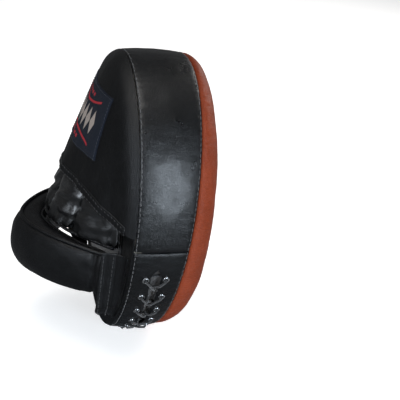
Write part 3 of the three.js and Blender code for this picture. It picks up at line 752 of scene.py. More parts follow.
def close_middle(obj, ring_columns):
    """Fills the small hole that the innermost ring leaves."""
    bm = bmesh.new()
    bm.from_mesh(obj.data)
    bm.verts.ensure_lookup_table()
    ring = [bm.verts[i] for i in ring_columns]
    middle = bm.verts.new(sum((v.co for v in ring), Vector()) / len(ring))
    for a, b in zip(ring, ring[1:] + ring[:1]):
        bm.faces.new((a, b, middle))
    bmesh.ops.recalc_face_normals(bm, faces=bm.faces)
    bm.to_mesh(obj.data)
    bm.free()
    obj.data.shade_smooth()


def oval_top(x):
    return HALF_HEIGHT * np.sqrt(np.maximum(0, 1 - (x / HALF_WIDTH) ** 2))


def oval_side(z):
    return HALF_WIDTH * np.sqrt(np.maximum(0, 1 - (z / HALF_HEIGHT) ** 2))


def hem_height(x):
    return mix(HEM_MIDDLE_Z, HEM_END_Z, np.abs(x / HALF_WIDTH) ** 2)


def middle_rise(z):
    part = clamp01((z - HEM_MIDDLE_Z) / (HALF_HEIGHT - HEM_MIDDLE_Z))
    return COVER_SLOPE * (HALF_HEIGHT - z) + COVER_BELLY * np.sin(math.pi * part)


def cover_point(x, z, lift=0.0):
    """A point over the cover, with its folds; it comes down to the back seam at its edge."""
    x, z = np.broadcast_arrays(np.asarray(x, float), np.asarray(z, float))
    across, along = np.abs(x) / HALF_WIDTH, z / HALF_HEIGHT
    reach = np.hypot(across, along)
    roll = mix(2, COVER_ROLL, (along / reach) ** 2)
    inside = np.maximum(0, 1 - reach) * HALF_HEIGHT
    below = clamp01((z - HEM_MIDDLE_Z) / 84)
    arch = 1 - np.minimum(1, np.abs(x) / np.maximum(1, oval_side(z))) ** mix(1.8, 2.5, below)
    rise = roll * (1 - np.exp(-inside / 5)) + middle_rise(z) * arch
    low_side = clamp01(x / (0.7 * oval_side(z) + 1)) * mix(0.25, 1, below)
    y = COVER_FOOT + rise * (1 - COVER_LOW_SIDE * low_side)
    y = y - (COVER_FOOT + 0.2) * np.exp(-inside / 2.4)
    where = np.stack([x, np.zeros_like(x), z], -1)
    free = clamp01(inside / 25)
    low = clamp01((100 - z) / 60)
    folds = 1.5 * ripple(where, (21, 1, 75), 3) * low + 0.5 * ripple(where, (9, 1, 30), 4) * low
    pulled = 0.9 * np.cos((x + 60) / 9.5) * np.exp(-((z - hem_height(x)) / 16) ** 2) * 0.35
    return np.stack([x, y + (folds + pulled) * free + lift, z], -1)


def stall_top(x, z):
    peak = np.where(
        z < HEM_MIDDLE_Z,
        mix(MOUTH_RISE, 0.95 * (COVER_ROLL + middle_rise(HEM_MIDDLE_Z)),
            (z - MOUTH_Z) / (HEM_MIDDLE_Z - MOUTH_Z)),
        0.95 * (COVER_ROLL + middle_rise(z)))
    span = STALL_HALF_SPAN - 0.12 * (z - MOUTH_Z)
    return STALL_FOOT + (peak - STALL_FOOT) * (1 - (x / span) ** 2)


def stall_grid(number, around=56, levels=46):
    """Rings of one slack, folded finger stall, from its mouth to its closed tip."""
    width = (2 * STALL_HALF_SPAN - 4) / STALL_COUNT
    middle, half_width = width * (number - (STALL_COUNT - 1) / 2), width / 2 - 0.7
    share = np.linspace(0, 1, levels)
    z = mix(MOUTH_Z - STALL_HANG, STALL_TIP_Z, share)
    turn = np.linspace(0, 2 * math.pi, around, endpoint=False)[:, None]
    closing = np.sqrt(np.maximum(0.0, 1 - clamp01((share - 0.86) / 0.14) ** 2)) * 0.97 + 0.03
    span = (STALL_HALF_SPAN - 0.12 * (z - MOUTH_Z)) / STALL_HALF_SPAN
    inset = 2.2 * np.exp(-(share * 91 / 3) ** 2)
    x = span * (middle + (half_width * closing - inset * 0.3) * signed_power(np.cos(turn), 0.8))
    top = stall_top(x, z)
    depth = np.minimum(STALL_DEPTH, top - BACK_FACE_Y - 2.6)
    half = np.maximum(depth / 2, 1.2) * closing
    y = top - depth / 2 + half * signed_power(np.sin(turn), 0.8)
    # Slack folds lie slantwise across each finger and gather towards the mouth
    back = clamp01(0.3 + 0.7 * np.sin(turn))
    place = np.stack(np.broadcast_arrays(x, y, z), -1)
    slant = place + np.stack([0.5 * place[..., 2], 0 * place[..., 1], 0.35 * place[..., 0]], -1)
    bend = ripple(place, (22, 30, 22), 10 + number)
    ridges = 1 - 2.2 * np.abs(ripple(slant + 9 * bend[..., None], (30, 40, 13), 20 + number, 1))
    folds = 2.9 * ridges + 0.8 * ripple(place, (7, 9, 7), 30 + number)
    gather = 0.7 * np.cos(turn * 9 + number + 2 * bend) * np.exp(-(z - MOUTH_Z) / 12)
    free = clamp01((depth - 4) / 8) * clamp01((z - MOUTH_Z + 1) / 6)
    push = (folds * back * free + gather - inset * 0.5) * closing
    out = np.stack(np.broadcast_arrays(np.cos(turn), np.sin(turn), 0 * z), -1)
    return place + out * push[..., None]


def bolster_frame(across):
    """Centre line of the bolster, the direction away from the wrist, and how far it has swelled."""
    across = np.asarray(across, float)
    side = np.abs(across)
    slope = BOLSTER_BOW * BOLSTER_REACH * side ** (BOLSTER_BOW - 1) / BOLSTER_SPAN
    away = np.stack([np.sign(across) * slope, np.ones_like(side), np.zeros_like(side)], -1)
    away /= np.linalg.norm(away, axis=-1, keepdims=True)
    swell = 1 - side**1.8
    centre = np.stack([BOLSTER_SPAN * across, BOLSTER_END_Y + BOLSTER_REACH * (1 - side**BOLSTER_BOW),
                       mix(-46, -48.5, swell)], -1)
    return centre, away, swell


def bolster_point(across, around, inset=0.0):
    across, around = np.broadcast_arrays(np.asarray(across, float), np.asarray(around, float))
    centre, away, swell = bolster_frame(across)
    outer_side = np.cos(around) > 0
    thick = np.where(outer_side, mix(6.5, 18.5, swell), mix(5, 16.5, swell)) - inset
    square = np.where(outer_side, 0.9, 0.55)
    tall = mix(25, 29.5, swell) - inset
    point = centre + away * (thick * signed_power(np.cos(around), square))[..., None]
    point[..., 2] += tall * signed_power(np.sin(around), 0.85)
    return point


# Paths for stitches: rows of points on a surface with the direction off it

STITCH_ROWS = {}


def add_stitch_row(group, points, out):
    points, out = np.asarray(points, float), np.broadcast_to(out, np.shape(points))
    STITCH_ROWS.setdefault(group, []).append((points, out))


# Geometry Nodes

def geometry_tree(name, inputs):
    tree = bpy.data.node_groups.new(name, "GeometryNodeTree")
    tree.interface.new_socket("Geometry", in_out="INPUT", socket_type="NodeSocketGeometry")
    tree.interface.new_socket("Geometry", in_out="OUTPUT", socket_type="NodeSocketGeometry")
    for key, (kind, default) in inputs.items():
        socket = tree.interface.new_socket(key, in_out="INPUT", socket_type="NodeSocket" + kind)
        if default is not None:
            socket.default_value = default
    return tree, tree.nodes.new("NodeGroupInput"), tree.nodes.new("NodeGroupOutput")


def run_tree(obj, tree, values):
    """Runs a tree on the object with the values of its named inputs and keeps the plain mesh."""
    modifier = obj.modifiers.new(tree.name, "NODES")
    modifier.node_group = tree
    sockets = {s.name: s.identifier for s in tree.interface.items_tree if s.in_out == "INPUT"}
    for key, value in values.items():
        modifier[sockets[key]] = value
    return settle(obj)


def off_surface(tree, tangent):
    """Rotation that stands an instance on the surface, along the row."""
    out = node(tree, "GeometryNodeInputNamedAttribute", {"Name": "out"}, data_type="FLOAT_VECTOR")
    return node(tree, "FunctionNodeAxesToRotation",
                {0: out.outputs["Attribute"], 1: tangent},
                primary_axis="Z", secondary_axis="X").outputs[0]


def stitch_tree():
    """Arched stitches at even steps along the rows."""
    if "Stitches" in bpy.data.node_groups:
        return bpy.data.node_groups["Stitches"]
    tree, given, result = geometry_tree("Stitches", {
        "Length": ("Float", 0.0032), "Gap": ("Float", 0.0015), "Thread": ("Float", 0.00036),
        "Seed": ("Int", 7), "Material": ("Material", None)})
    length, thread = given.outputs["Length"], given.outputs["Thread"]
    rows = node(tree, "GeometryNodeMeshToCurve", {"Mesh": given.outputs["Geometry"]})
    pitch = maths(tree, "ADD", length, given.outputs["Gap"])
    spaced = node(tree, "GeometryNodeResampleCurve",
                  {"Curve": rows.outputs[0], "Length": pitch}, mode="LENGTH")
    start = node(tree, "ShaderNodeCombineXYZ", {0: maths(tree, "MULTIPLY", length, -0.5)})
    end = node(tree, "ShaderNodeCombineXYZ", {0: maths(tree, "MULTIPLY", length, 0.5)})
    line = node(tree, "GeometryNodeCurvePrimitiveLine", {"Start": start.outputs[0], "End": end.outputs[0]})
    bent = node(tree, "GeometryNodeResampleCurve", {"Curve": line.outputs[0], "Count": 5})
    part = node(tree, "GeometryNodeSplineParameter").outputs["Factor"]
    arch = maths(tree, "SINE", maths(tree, "MULTIPLY", part, math.pi))
    drop = maths(tree, "MULTIPLY_ADD", arch, maths(tree, "MULTIPLY", thread, 1.5),
                    maths(tree, "MULTIPLY", thread, -1.2))
    arched = node(tree, "GeometryNodeSetPosition", {
        "Geometry": bent.outputs[0], "Offset": node(tree, "ShaderNodeCombineXYZ", {2: drop}).outputs[0]})
    ring = node(tree, "GeometryNodeCurvePrimitiveCircle", {"Resolution": 6, "Radius": thread})
    stitch = node(tree, "GeometryNodeCurveToMesh", {
        "Curve": arched.outputs[0], "Profile Curve": ring.outputs[0], "Fill Caps": True})
    turn = node(tree, "FunctionNodeRandomValue", {"Seed": given.outputs["Seed"]}, data_type="FLOAT")
    turn.inputs[2].default_value, turn.inputs[3].default_value = -0.09, 0.09
    tangent = node(tree, "GeometryNodeInputTangent").outputs[0]
    standing = off_surface(tree, tangent)
    twist = node(tree, "FunctionNodeAxisAngleToRotation", {"Axis": (0, 0, 1), "Angle": turn.outputs[1]})
    turned = node(tree, "FunctionNodeRotateRotation", {"Rotation": standing, "Rotate By": twist.outputs[0]},
                  rotation_space="LOCAL")
    placed = node(tree, "GeometryNodeInstanceOnPoints", {
        "Points": spaced.outputs[0], "Instance": stitch.outputs[0], "Rotation": turned.outputs[0]})
    finish_tree(tree, placed.outputs[0], given.outputs["Material"], result)
    return tree


def eyelet_tree():
    """A rolled flange and a short barrel on each point."""
    tree, given, result = geometry_tree("Eyelets", {
        "Bore": ("Float", 0.0021), "Flange": ("Float", 0.0041), "Rise": ("Float", 0.0008),
        "Length": ("Float", 0.0024), "Material": ("Material", None)})
    bore, flange, rise = (given.outputs[key] for key in ("Bore", "Flange", "Rise"))
    middle = maths(tree, "MULTIPLY", maths(tree, "ADD", bore, flange), 0.5)
    half = maths(tree, "MULTIPLY", maths(tree, "SUBTRACT", flange, bore), 0.5)
    circle = node(tree, "GeometryNodeCurvePrimitiveCircle", {"Resolution": 24, "Radius": middle})
    unit = node(tree, "GeometryNodeCurvePrimitiveCircle", {"Resolution": 8, "Radius": 1.0})
    size = node(tree, "ShaderNodeCombineXYZ", {0: half, 1: rise, 2: 1.0})
    section = node(tree, "GeometryNodeTransform", {"Geometry": unit.outputs[0], "Scale": size.outputs[0]})
    rim = node(tree, "GeometryNodeCurveToMesh",
               {"Curve": circle.outputs[0], "Profile Curve": section.outputs[0]})
    barrel_circle = node(tree, "GeometryNodeCurvePrimitiveCircle", {"Resolution": 24, "Radius": maths(
        tree, "ADD", bore, 0.0003)})
    wall = node(tree, "ShaderNodeCombineXYZ", {
        0: 0.0003, 1: maths(tree, "MULTIPLY", given.outputs["Length"], 0.5), 2: 1.0})
    slim = node(tree, "GeometryNodeTransform", {"Geometry": unit.outputs[0], "Scale": wall.outputs[0]})
    barrel = node(tree, "GeometryNodeCurveToMesh", {
        "Curve": barrel_circle.outputs[0], "Profile Curve": slim.outputs[0]})
    down = node(tree, "ShaderNodeCombineXYZ", {2: maths(tree, "MULTIPLY", given.outputs["Length"], -0.5)})
    sunk = node(tree, "GeometryNodeTransform",
                {"Geometry": barrel.outputs[0], "Translation": down.outputs[0]})
    both = node(tree, "GeometryNodeJoinGeometry")
    tree.links.new(rim.outputs[0], both.inputs[0])
    tree.links.new(sunk.outputs[0], both.inputs[0])
    points = node(tree, "GeometryNodeMeshToPoints", {"Mesh": given.outputs["Geometry"]})
    placed = node(tree, "GeometryNodeInstanceOnPoints", {
        "Points": points.outputs[0], "Instance": both.outputs[0],
        "Rotation": off_surface(tree, (0.0, 1.0, 0.0))})
    finish_tree(tree, placed.outputs[0], given.outputs["Material"], result)
    return tree


def finish_tree(tree, geometry, material_socket, result):
    real = node(tree, "GeometryNodeRealizeInstances", {0: geometry})
    smooth = node(tree, "GeometryNodeSetShadeSmooth", {0: real.outputs[0]})
    dressed = node(tree, "GeometryNodeSetMaterial", {0: smooth.outputs[0], "Material": material_socket})
    tree.links.new(dressed.outputs[0], result.inputs["Geometry"])


def row_object(name, rows):
    """An object of edges along the rows, with the direction off the surface on each point."""
    points, out, edges = [], [], []
    for row, off in rows:
        start = len(points)
        points += (row * MM).tolist()
        out += off.tolist()
        edges += [(start + i, start + i + 1) for i in range(len(row) - 1)]
    mesh = bpy.data.meshes.new(name)
    mesh.from_pydata(points, edges, [])
    obj = link(name, mesh)
    set_attribute(obj, "out", out, "FLOAT_VECTOR")
    return obj


def sew(name, group, thread_name, thinner=1.0):
    """Makes a group's stitches as one piece."""
    sewing = bpy.context.scene.mitt_sewing
    obj = row_object(name, STITCH_ROWS[group])
    run_tree(obj, stitch_tree(), {
        "Length": sewing.length * thinner, "Gap": sewing.gap * thinner, "Thread": sewing.thread * thinner,
        "Seed": sewing.seed, "Material": material(thread_name)})
    return obj


# Operators, one for each piece or group of like pieces

class MITT_OT_target(bpy.types.Operator):
    """Make the domed leather of the striking face"""

    bl_idname = "mitt.target"
    bl_label = "Target"

    def execute(self, context):
        insets, ys = target_profile()
        grid, angle = oval_dish(insets, ys, 300, 5)
        rings = grid.shape[1]
        steps = np.linalg.norm(np.diff(grid, axis=1), axis=-1).mean(axis=0)
        run = np.concatenate([[0], np.cumsum(steps)])
        height = roll_in(run, 1.7, 1.3) + 0.5 * ripple(grid, (40, 30, 30), 5)
        height += 0.3 * np.sin(angle * 113 + 3 * np.sin(angle * 7)) * np.exp(-run / 7)
        height += 0.2 * ripple(grid, (30, 24, 5), 6) * np.exp(-((run - 20) / 26) ** 2)
        off = np.stack([grid[..., 0], (grid[..., 1] - MIDDLE_Y) * 2.2, grid[..., 2]], -1)
        off /= np.linalg.norm(off, axis=-1, keepdims=True)
        piece = surface("target_leather", grid + off * height[..., None], wrap=True)
        set_attribute(piece, "edge", np.broadcast_to(np.exp(-run / 2.5), (300, rings)))
        close_middle(piece, [i * rings + rings - 1 for i in range(300)])
        thicken(piece, SKIN, 0)
        finish_piece(piece, material("Target leather"), "mitt", "target_leather", "target_face")
        return {"FINISHED"}


class MITT_OT_side_leathers(bpy.types.Operator):
    """Make the upper side leather and the lower one with its laced slit"""

    bl_idname = "mitt.side_leathers"
    bl_label = "Side leathers"

    def execute(self, context):
        self.upper()
        self.lower()
        return {"FINISHED"}

    def upper(self):
        sew_gap = 0.15 / HALF_HEIGHT
        angle = np.linspace(-JOIN_TURN + sew_gap, math.pi + JOIN_TURN - sew_gap, 200)[:, None]
        across = 0.5 - 0.5 * np.cos(np.linspace(0, math.pi, 22))[None, :]
        front = front_seam(HALF_HEIGHT * np.sin(angle))
        y = mix(front, BACK_SEAM_Y, across)
        piece = surface("side_leather_upper", on_side(angle, y, side_height(angle, y)))
        near = np.minimum(y - front, -y)
        set_attribute(piece, "edge", np.broadcast_to(np.exp(-near / 2.5), (200, 22)))
        thicken(piece, LEATHER)
        finish_piece(piece, material("Side leather"), "mitt", "black_leather", "side_wall_upper")

    def lower(self):
        sew_gap = 0.15 / HALF_HEIGHT
        angle = np.linspace(math.pi + JOIN_TURN + sew_gap, 2 * math.pi - JOIN_TURN - sew_gap, 300)[:, None]
        ease = (0.5 - 0.5 * np.cos(np.linspace(0, math.pi, 14)))[None, :]
        half = slit_half(angle)
        seam = front_seam(HALF_HEIGHT * np.sin(angle))
        front = mix(seam, MIDDLE_Y - half, ease)
        back = mix(MIDDLE_Y + half, BACK_SEAM_Y, ease)
        y = np.concatenate([front, back], axis=1)
        height = side_height(angle, y)
        open_slit = np.clip(half / SLIT_HALF, 0, 1)
        from_slit = np.abs(y - MIDDLE_Y) - half
        height += roll_in(from_slit, 0.9, 1.5) * open_slit
        step = PAIR_ANGLES[1] - PAIR_ANGLES[0]
        pull = np.cos(2 * math.pi * (angle - PAIR_ANGLES[0]) / step) * np.exp(-((from_slit - 5) / 6) ** 2)
        height -= 0.45 * pull * open_slit
        halves = []
        for part, columns in (("front", slice(0, 14)), ("back", slice(14, 28))):
            made = surface(part, on_side(angle, y[:, columns], height[:, columns]))
            near = np.minimum(y[:, columns] - seam, -y[:, columns])
            set_attribute(made, "edge", np.exp(-near / 2.5))
            halves.append(made)
        piece = join_objects("side_leather_lower", halves)
        merge_doubles(piece, 5e-6)
        face_away(piece, PAD_CENTRE)
        thicken(piece, LEATHER, 0)
        settle(piece)
        holes = []
        for turn, across in eyelet_places():
            holes.append(drill("hole", on_side(turn, across), outward(turn)))
        cutter = join_objects("holes", holes)
        cut = piece.modifiers.new("Holes", "BOOLEAN")
        cut.object, cut.operation, cut.solver = cutter, "DIFFERENCE", "EXACT"
        settle(piece)
        bpy.data.objects.remove(cutter)
        piece.data.shade_smooth()
        finish_piece(piece, material("Side leather"), "mitt", "black_leather", "side_wall_lower")


def eyelet_places():
    """Angle and y of every eyelet."""
    return [(turn, MIDDLE_Y + side * ROW_OFFSET) for turn in PAIR_ANGLES for side in (1, -1)]


def drill(name, at, direction):
    """A short cylinder across the leather at a point."""
    bm = bmesh.new()
    bmesh.ops.create_cone(bm, cap_ends=True, segments=24, radius1=HOLE_RADIUS * MM, radius2=HOLE_RADIUS * MM,
                          depth=12 * MM)
    turn = Vector(direction).to_track_quat("Z", "Y").to_matrix().to_4x4()
    bm.transform(Matrix.Translation(Vector(at) * MM) @ turn)
    mesh = bpy.data.meshes.new(name)
    bm.to_mesh(mesh)
    bm.free()
    return link(name, mesh)


def join_objects(name, objects):
    """One object from the meshes of several, which are removed."""
    bm = bmesh.new()
    for obj in objects:
        bm.from_mesh(obj.data)
    mesh = bpy.data.meshes.new(name)
    bm.to_mesh(mesh)
    bm.free()
    mesh.shade_smooth()
    for obj in objects:
        bpy.data.objects.remove(obj)
    return link(name, mesh)


class MITT_OT_back_panel(bpy.types.Operator):
    """Make the back leather with its turned edge, the palm lining and the care tag"""

    bl_idname = "mitt.back_panel"
    bl_label = "Back, lining and tag"

    def execute(self, context):
        insets = np.array([0.9, 1.2, 1.8, 2.8, 4.2, 7, 14, 24, 36, 48, 56])
        ys = np.array([0.1, 0.6, 1.1, 1.4, 1.55, 1.6, 1.6, 1.6, 1.6, 1.6, 1.6])
        grid, _ = oval_dish(insets, ys, 220, 4)
        rings = grid.shape[1]
        grid[..., 1] += 0.12 * ripple(grid, (30, 30, 30), 8)
        piece = surface("back_leather", grid, wrap=True)
        close_middle(piece, [i * rings + rings - 1 for i in range(220)])
        thicken(piece, 1.4, 0)
        finish_piece(piece, material("Cover leather"), "mitt", "black_leather", "back_panel")
        self.lining()
        self.tag()
        return {"FINISHED"}

    def lining(self):
        """The soft panel under the palm, rounded at its corners."""
        turn = np.linspace(0, 2 * math.pi, 96, endpoint=False)[:, None]
        share = np.array([1, 0.995, 0.985, 0.96, 0.92, 0.8, 0.6, 0.4, 0.2, 0.05])[None, :]
        x = 71 * signed_power(np.cos(turn), 0.6) * share
        z = -37 + 56 * signed_power(np.sin(turn), 0.6) * share
        y = 2.2 + 1.0 * (1 - np.clip((share - 0.92) / 0.08, 0, 1) ** 2) + 0 * turn
        grid = np.stack([x, y, z], -1)
        grid[..., 1] += 0.25 * ripple(grid, (18, 18, 18), 9)
        piece = surface("palm_lining_cloth", grid, wrap=True)
        close_middle(piece, [i * 10 + 9 for i in range(96)])
        planar_uv(piece)
        thicken(piece, 0.8, 0)
        finish_piece(piece, material("Lining"), "mitt", "lining_fabric", "palm_lining")
        edge = np.stack([68 * signed_power(np.cos(turn[:, 0]), 0.6), 0 * turn[:, 0] + 3.3,
                         -37 + 53 * signed_power(np.sin(turn[:, 0]), 0.6)], -1)
        add_stitch_row("dark", np.vstack([edge, edge[:1]]), (0, 1, 0))

    def tag(self):
        """A folded fabric tag, caught at its top."""
        low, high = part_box("care_tag")
        x = np.linspace(low.x, high.x, 12)[:, None] / MM
        run = np.linspace(0, 1, 26)[None, :]
        z = high.z / MM - run * (high.z - low.z) / MM
        y = high.y / MM + 0.2 + 1.6 * np.sin(run * math.pi * 0.9) + 0.25 * np.sin(x / 3.1) * run
        piece = surface("care_tag_ribbon", np.stack(np.broadcast_arrays(x, y, z), -1))
        face_away(piece, PAD_CENTRE)
        thicken(piece, 0.35, 1)
        finish_piece(piece, material("Tag fabric"), "mitt", "tag_fabric", "care_tag")


def planar_uv(obj):
    """A UV map in metres across X and Z, for cloth that lies flat on the back."""
    layer = obj.data.uv_layers[0]
    for loop in obj.data.loops:
        co = obj.data.vertices[loop.vertex_index].co
        layer.data[loop.index].uv = (co.x, co.z)


class MITT_OT_cover(bpy.types.Operator):
    """Make the leather cover over the fingers and its turned hem"""

    bl_idname = "mitt.cover"
    bl_label = "Cover and hem"

    def execute(self, context):
        reach = HALF_WIDTH * COVER_REACH
        u = np.linspace(0, 1, 120)[:, None]
        v = np.linspace(0, 1, 56)[None, :]
        x = reach * np.sin(math.pi * (u - 0.5))
        z = mix(hem_height(x), oval_top(x) - 0.1, 1 - (1 - v) ** 1.8)
        piece = surface("cover_leather", cover_point(x, z))
        set_attribute(piece, "edge", np.broadcast_to(np.exp(-(z - hem_height(x)) / 3), (120, 56)))
        thicken(piece, LEATHER)
        finish_piece(piece, material("Cover leather"), "mitt", "cover_leather", "finger_cover")
        self.hem()
        return {"FINISHED"}

    def hem(self):
        reach, width = HALF_WIDTH * 0.95, 8.0
        x = np.linspace(-reach, reach, 160)[:, None]
        v = np.linspace(0, 1, 12)[None, :]
        z = hem_height(x) - 0.6 + width * v
        lift = 0.9 - 0.8 * np.abs(2 * v - 1) ** 5 + 0 * x
        piece = surface("hem_binding", cover_point(x, z, lift))
        set_attribute(piece, "edge", np.broadcast_to(np.exp(-v * 6), (160, 12)))
        thicken(piece, 0.8)
        finish_piece(piece, material("Cover leather"), "mitt", "cover_leather", "cover_hem")
        for offset in (1.1, 5.6):
            row = x[:, 0]
            points = cover_point(row, hem_height(row) + offset, 1.05)
            add_stitch_row("dark", points, (0, 1, 0))


class MITT_OT_label(bpy.types.Operator):
    """Make the woven label on the cover"""

    bl_idname = "mitt.label"
    bl_label = "Label"

    HALF, LOW, HIGH, TAPER = 53.0, 54.0, 109.0, 9.0
    # The flat cut in metres: its lower edge, its upper edge and its height
    CUT = (0.1105, 0.090, 0.0585)

    def place(self, u, v, lift):
        half = self.HALF - self.TAPER * v
        return cover_point(mix(-half, half, u), mix(self.LOW, self.HIGH, v), lift)

    def execute(self, context):
        u = np.linspace(0, 1, 64)[:, None]
        v = np.linspace(0, 1, 36)[None, :]
        rim = np.minimum(np.minimum(u, 1 - u) * 2 * self.HALF, np.minimum(v, 1 - v) * (self.HIGH - self.LOW))
        lift = 0.9 - 0.7 * np.exp(-rim / 0.5)
        grid = self.place(u, v, lift)
        piece = surface("label_cloth", grid)
        thicken(piece, 0.7, 1)
        finish_piece(piece, material("Woven label"), "mitt", "label_weave", "label_patch")
        border = [(s, 0.03) for s in np.linspace(0.02, 0.98, 60)]
        border += [(0.98, s) for s in np.linspace(0.03, 0.97, 40)]
        border += [(s, 0.97) for s in np.linspace(0.98, 0.02, 60)]
        border += [(0.02, s) for s in np.linspace(0.97, 0.03, 40)]
        border = np.array(border)
        add_stitch_row("label", self.place(border[:, 0], border[:, 1], 1.0), (0, 1, 0))
        return {"FINISHED"}


class MITT_OT_finger_stalls(bpy.types.Operator):
    """Make the four folded finger stalls and the binding across their mouths"""

    bl_idname = "mitt.finger_stalls"
    bl_label = "Finger stalls"

    def execute(self, context):
        for number in range(STALL_COUNT):
            grid = stall_grid(number)
            middle = grid.reshape(-1, 3).mean(axis=0)
            levels = grid.shape[1]
            piece = surface(f"stall_leather_{number + 1}", grid, wrap=True, inside=middle)
            close_middle(piece, [i * levels + levels - 1 for i in range(len(grid))])
            face_away(piece, middle)
            thicken(piece, STALL_WALL, 1)
            finish_piece(piece, material("Stall leather"), "mitt", "stall_leather",
                         f"finger_stall_{number + 1}")
        x = np.linspace(-1, 1, 140) * (STALL_HALF_SPAN - 4)
        wave = 0.7 * np.cos(x / 39 * 2 * math.pi)
        path = np.stack([x, stall_top(x, MOUTH_Z) - 1.4 + wave, np.full_like(x, MOUTH_Z - STALL_HANG)], -1)
        piece = tube("stall_mouth_binding", path, 1.5, 12)
        finish_piece(piece, material("Bolster leather"), "mitt", "stall_leather", "stall_binding")
        add_stitch_row("dark", path + (0, 1.6, 0.7), (0, 0.9, 0.4))
        return {"FINISHED"}


class MITT_OT_bolster(bpy.types.Operator):
    """Make the stuffed bolster, filled by a cloth simulation, with its piping and binding"""

    bl_idname = "mitt.bolster"
    bl_label = "Bolster"

    def execute(self, context):
        stuffing = context.scene.mitt_stuffing
        across = -np.cos(np.linspace(0, math.pi, 90))[None, :]
        around = np.linspace(0, 2 * math.pi, 72, endpoint=False)[:, None]
        roll = surface("bolster_leather", bolster_point(across, around, 2.0), wrap=True, close=True)
        bm = bmesh.new()
        bm.from_mesh(roll.data)
        bmesh.ops.recalc_face_normals(bm, faces=bm.faces)
        bm.to_mesh(roll.data)
        bm.free()
        remesh = roll.modifiers.new("Cells", "REMESH")
        remesh.mode, remesh.voxel_size = "VOXEL", stuffing.voxel
        settle(roll)
        self.fill(context, roll, stuffing)
        piping, binding = (self.seam_line(turn) for turn in (PIPING_TURN, BINDING_TURN))
        self.sink_seams(roll, [(piping, 1.3, 2.4), (binding, 1.0, 2.2)])
        smooth = roll.modifiers.new("Smooth", "SUBSURF")
        smooth.levels = smooth.render_levels = 1
        settle(roll)
        self.sink_channels(roll)
        self.dress(roll)
        for name, line, radius, node_name in (
                ("piping_cord", piping, 1.8, "bolster_piping"),
                ("binding_cord", binding, 1.5, "bolster_binding")):
            path, out = self.laid_on(roll, line, radius * 0.55)
            cord = tube(name, path, radius, 12, out=out)
            finish_piece(cord, material("Bolster leather"), "bolster", "bolster_leather", node_name)
            below = path + np.cross(np.gradient(path, axis=0), out) * 0
            add_stitch_row("bolster", below + out * (radius * 0.2) + (0, 0, -radius * 1.35), out)
        return {"FINISHED"}

    def fill(self, context, roll, stuffing):
        """Blows the cover up like cloth over stuffing, and holds back points that go too far."""
        rest = np.array([v.co for v in roll.data.vertices])
        cloth = roll.modifiers.new("Filling", "CLOTH")
        cloth.settings.use_pressure = True
        cloth.settings.uniform_pressure_force = stuffing.pressure
        cloth.settings.effector_weights.gravity = 0
        cloth.point_cache.frame_start, cloth.point_cache.frame_end = 1, 20
        for step in range(1, 21):
            context.scene.frame_set(step)
        settle(roll)
        context.scene.frame_set(1)
        now = np.array([v.co for v in roll.data.vertices])
        moved = now - rest
        far = np.linalg.norm(moved, axis=1, keepdims=True)
        held = rest + moved * np.minimum(1, stuffing.most / np.maximum(far, 1e-9))
        roll.data.vertices.foreach_set("co", held.astype(np.float32).ravel())
        roll.data.update()

    def seam_line(self, turn):
        bow = -np.cos(np.linspace(0.17, math.pi - 0.17, 120))
        return bolster_point(bow, turn)

    def sink_seams(self, roll, seams):
        """Draws the cover in along its seams."""
        for line, depth, width in seams:
            tree = KDTree(len(line))
            for i, p in enumerate(line):
                tree.insert(Vector(p) * MM, i)
            tree.balance()
            for v in roll.data.vertices:
                near = tree.find(v.co)[2] / MM
                v.co -= v.normal * depth * MM * math.exp(-((near / width) ** 2))
        roll.data.update()

    def sink_channels(self, roll):
        """Two sewn channels round each end, and soft creases that fan out from them."""
        share, _ = self.places(roll)
        co = np.array([v.co for v in roll.data.vertices]) / MM
        normal = np.array([v.normal for v in roll.data.vertices])
        run = BOLSTER_SPAN * 1.45 * (1 - np.abs(share))
        channels = sum(np.exp(-(((run - at) / 1.7) ** 2)) for at in (5.0, 13.0))
        crease = np.cos(co[:, 2] / 3.4 + 1.5 * ripple(co, (14, 14, 14), 31))
        fan = crease * np.exp(-(((run - 19) / 9) ** 2))
        dents = ripple(co, (26, 26, 20), 32)
        height = -1.9 * channels - 0.35 * fan + 0.6 * dents * clamp01((run - 12) / 20)
        moved = (co + normal * height[:, None]) * MM
        roll.data.vertices.foreach_set("co", moved.astype(np.float32).ravel())
        roll.data.update()
        set_attribute(roll, "edge", clamp01(channels * 0.7))

    def places(self, roll):
        """Where each point is along the bolster, from -1 to 1, and round it."""
        fine = np.linspace(-1, 1, 401)
        centre, away, _ = bolster_frame(fine)
        tree = KDTree(len(fine))
        for i, p in enumerate(centre):
            tree.insert(Vector((p[0], p[1], 0)), i)
        tree.balance()
        share, around = [], []
        for v in roll.data.vertices:
            p = np.array(v.co) / MM
            i = tree.find(Vector((p[0], p[1], 0)))[1]
            off = p - centre[i]
            share.append(fine[i])
            around.append(math.atan2(off[2], off @ away[i] * 1.5))
        return np.array(share), np.array(around)

    def dress(self, roll):
        """Leather outside and lining towards the wrist, with the cloth's UV map in metres."""
        share, around = self.places(roll)
        roll.data.materials.append(material("Bolster leather"))
        roll.data.materials.append(material("Lining"))
        while roll.data.uv_layers:
            roll.data.uv_layers.remove(roll.data.uv_layers[0])
        layer = roll.data.uv_layers.new(name="UVMap")
        turn = np.mod(around, 2 * math.pi)
        for face in roll.data.polygons:
            corners = list(face.vertices)
            inner = np.abs(around[corners]).min() > LINING_TURN and np.abs(share[corners]).max() < 0.93
            face.material_index = int(inner)
            for loop, v in zip(face.loop_indices, corners):
                layer.data[loop].uv = (share[v] * 0.11, turn[v] * 0.02)
        roll.data.shade_smooth()
        finish_piece(roll, None, "bolster", "bolster_leather",
                     "bolster_shell", "bolster_lining", "bolster_foam")

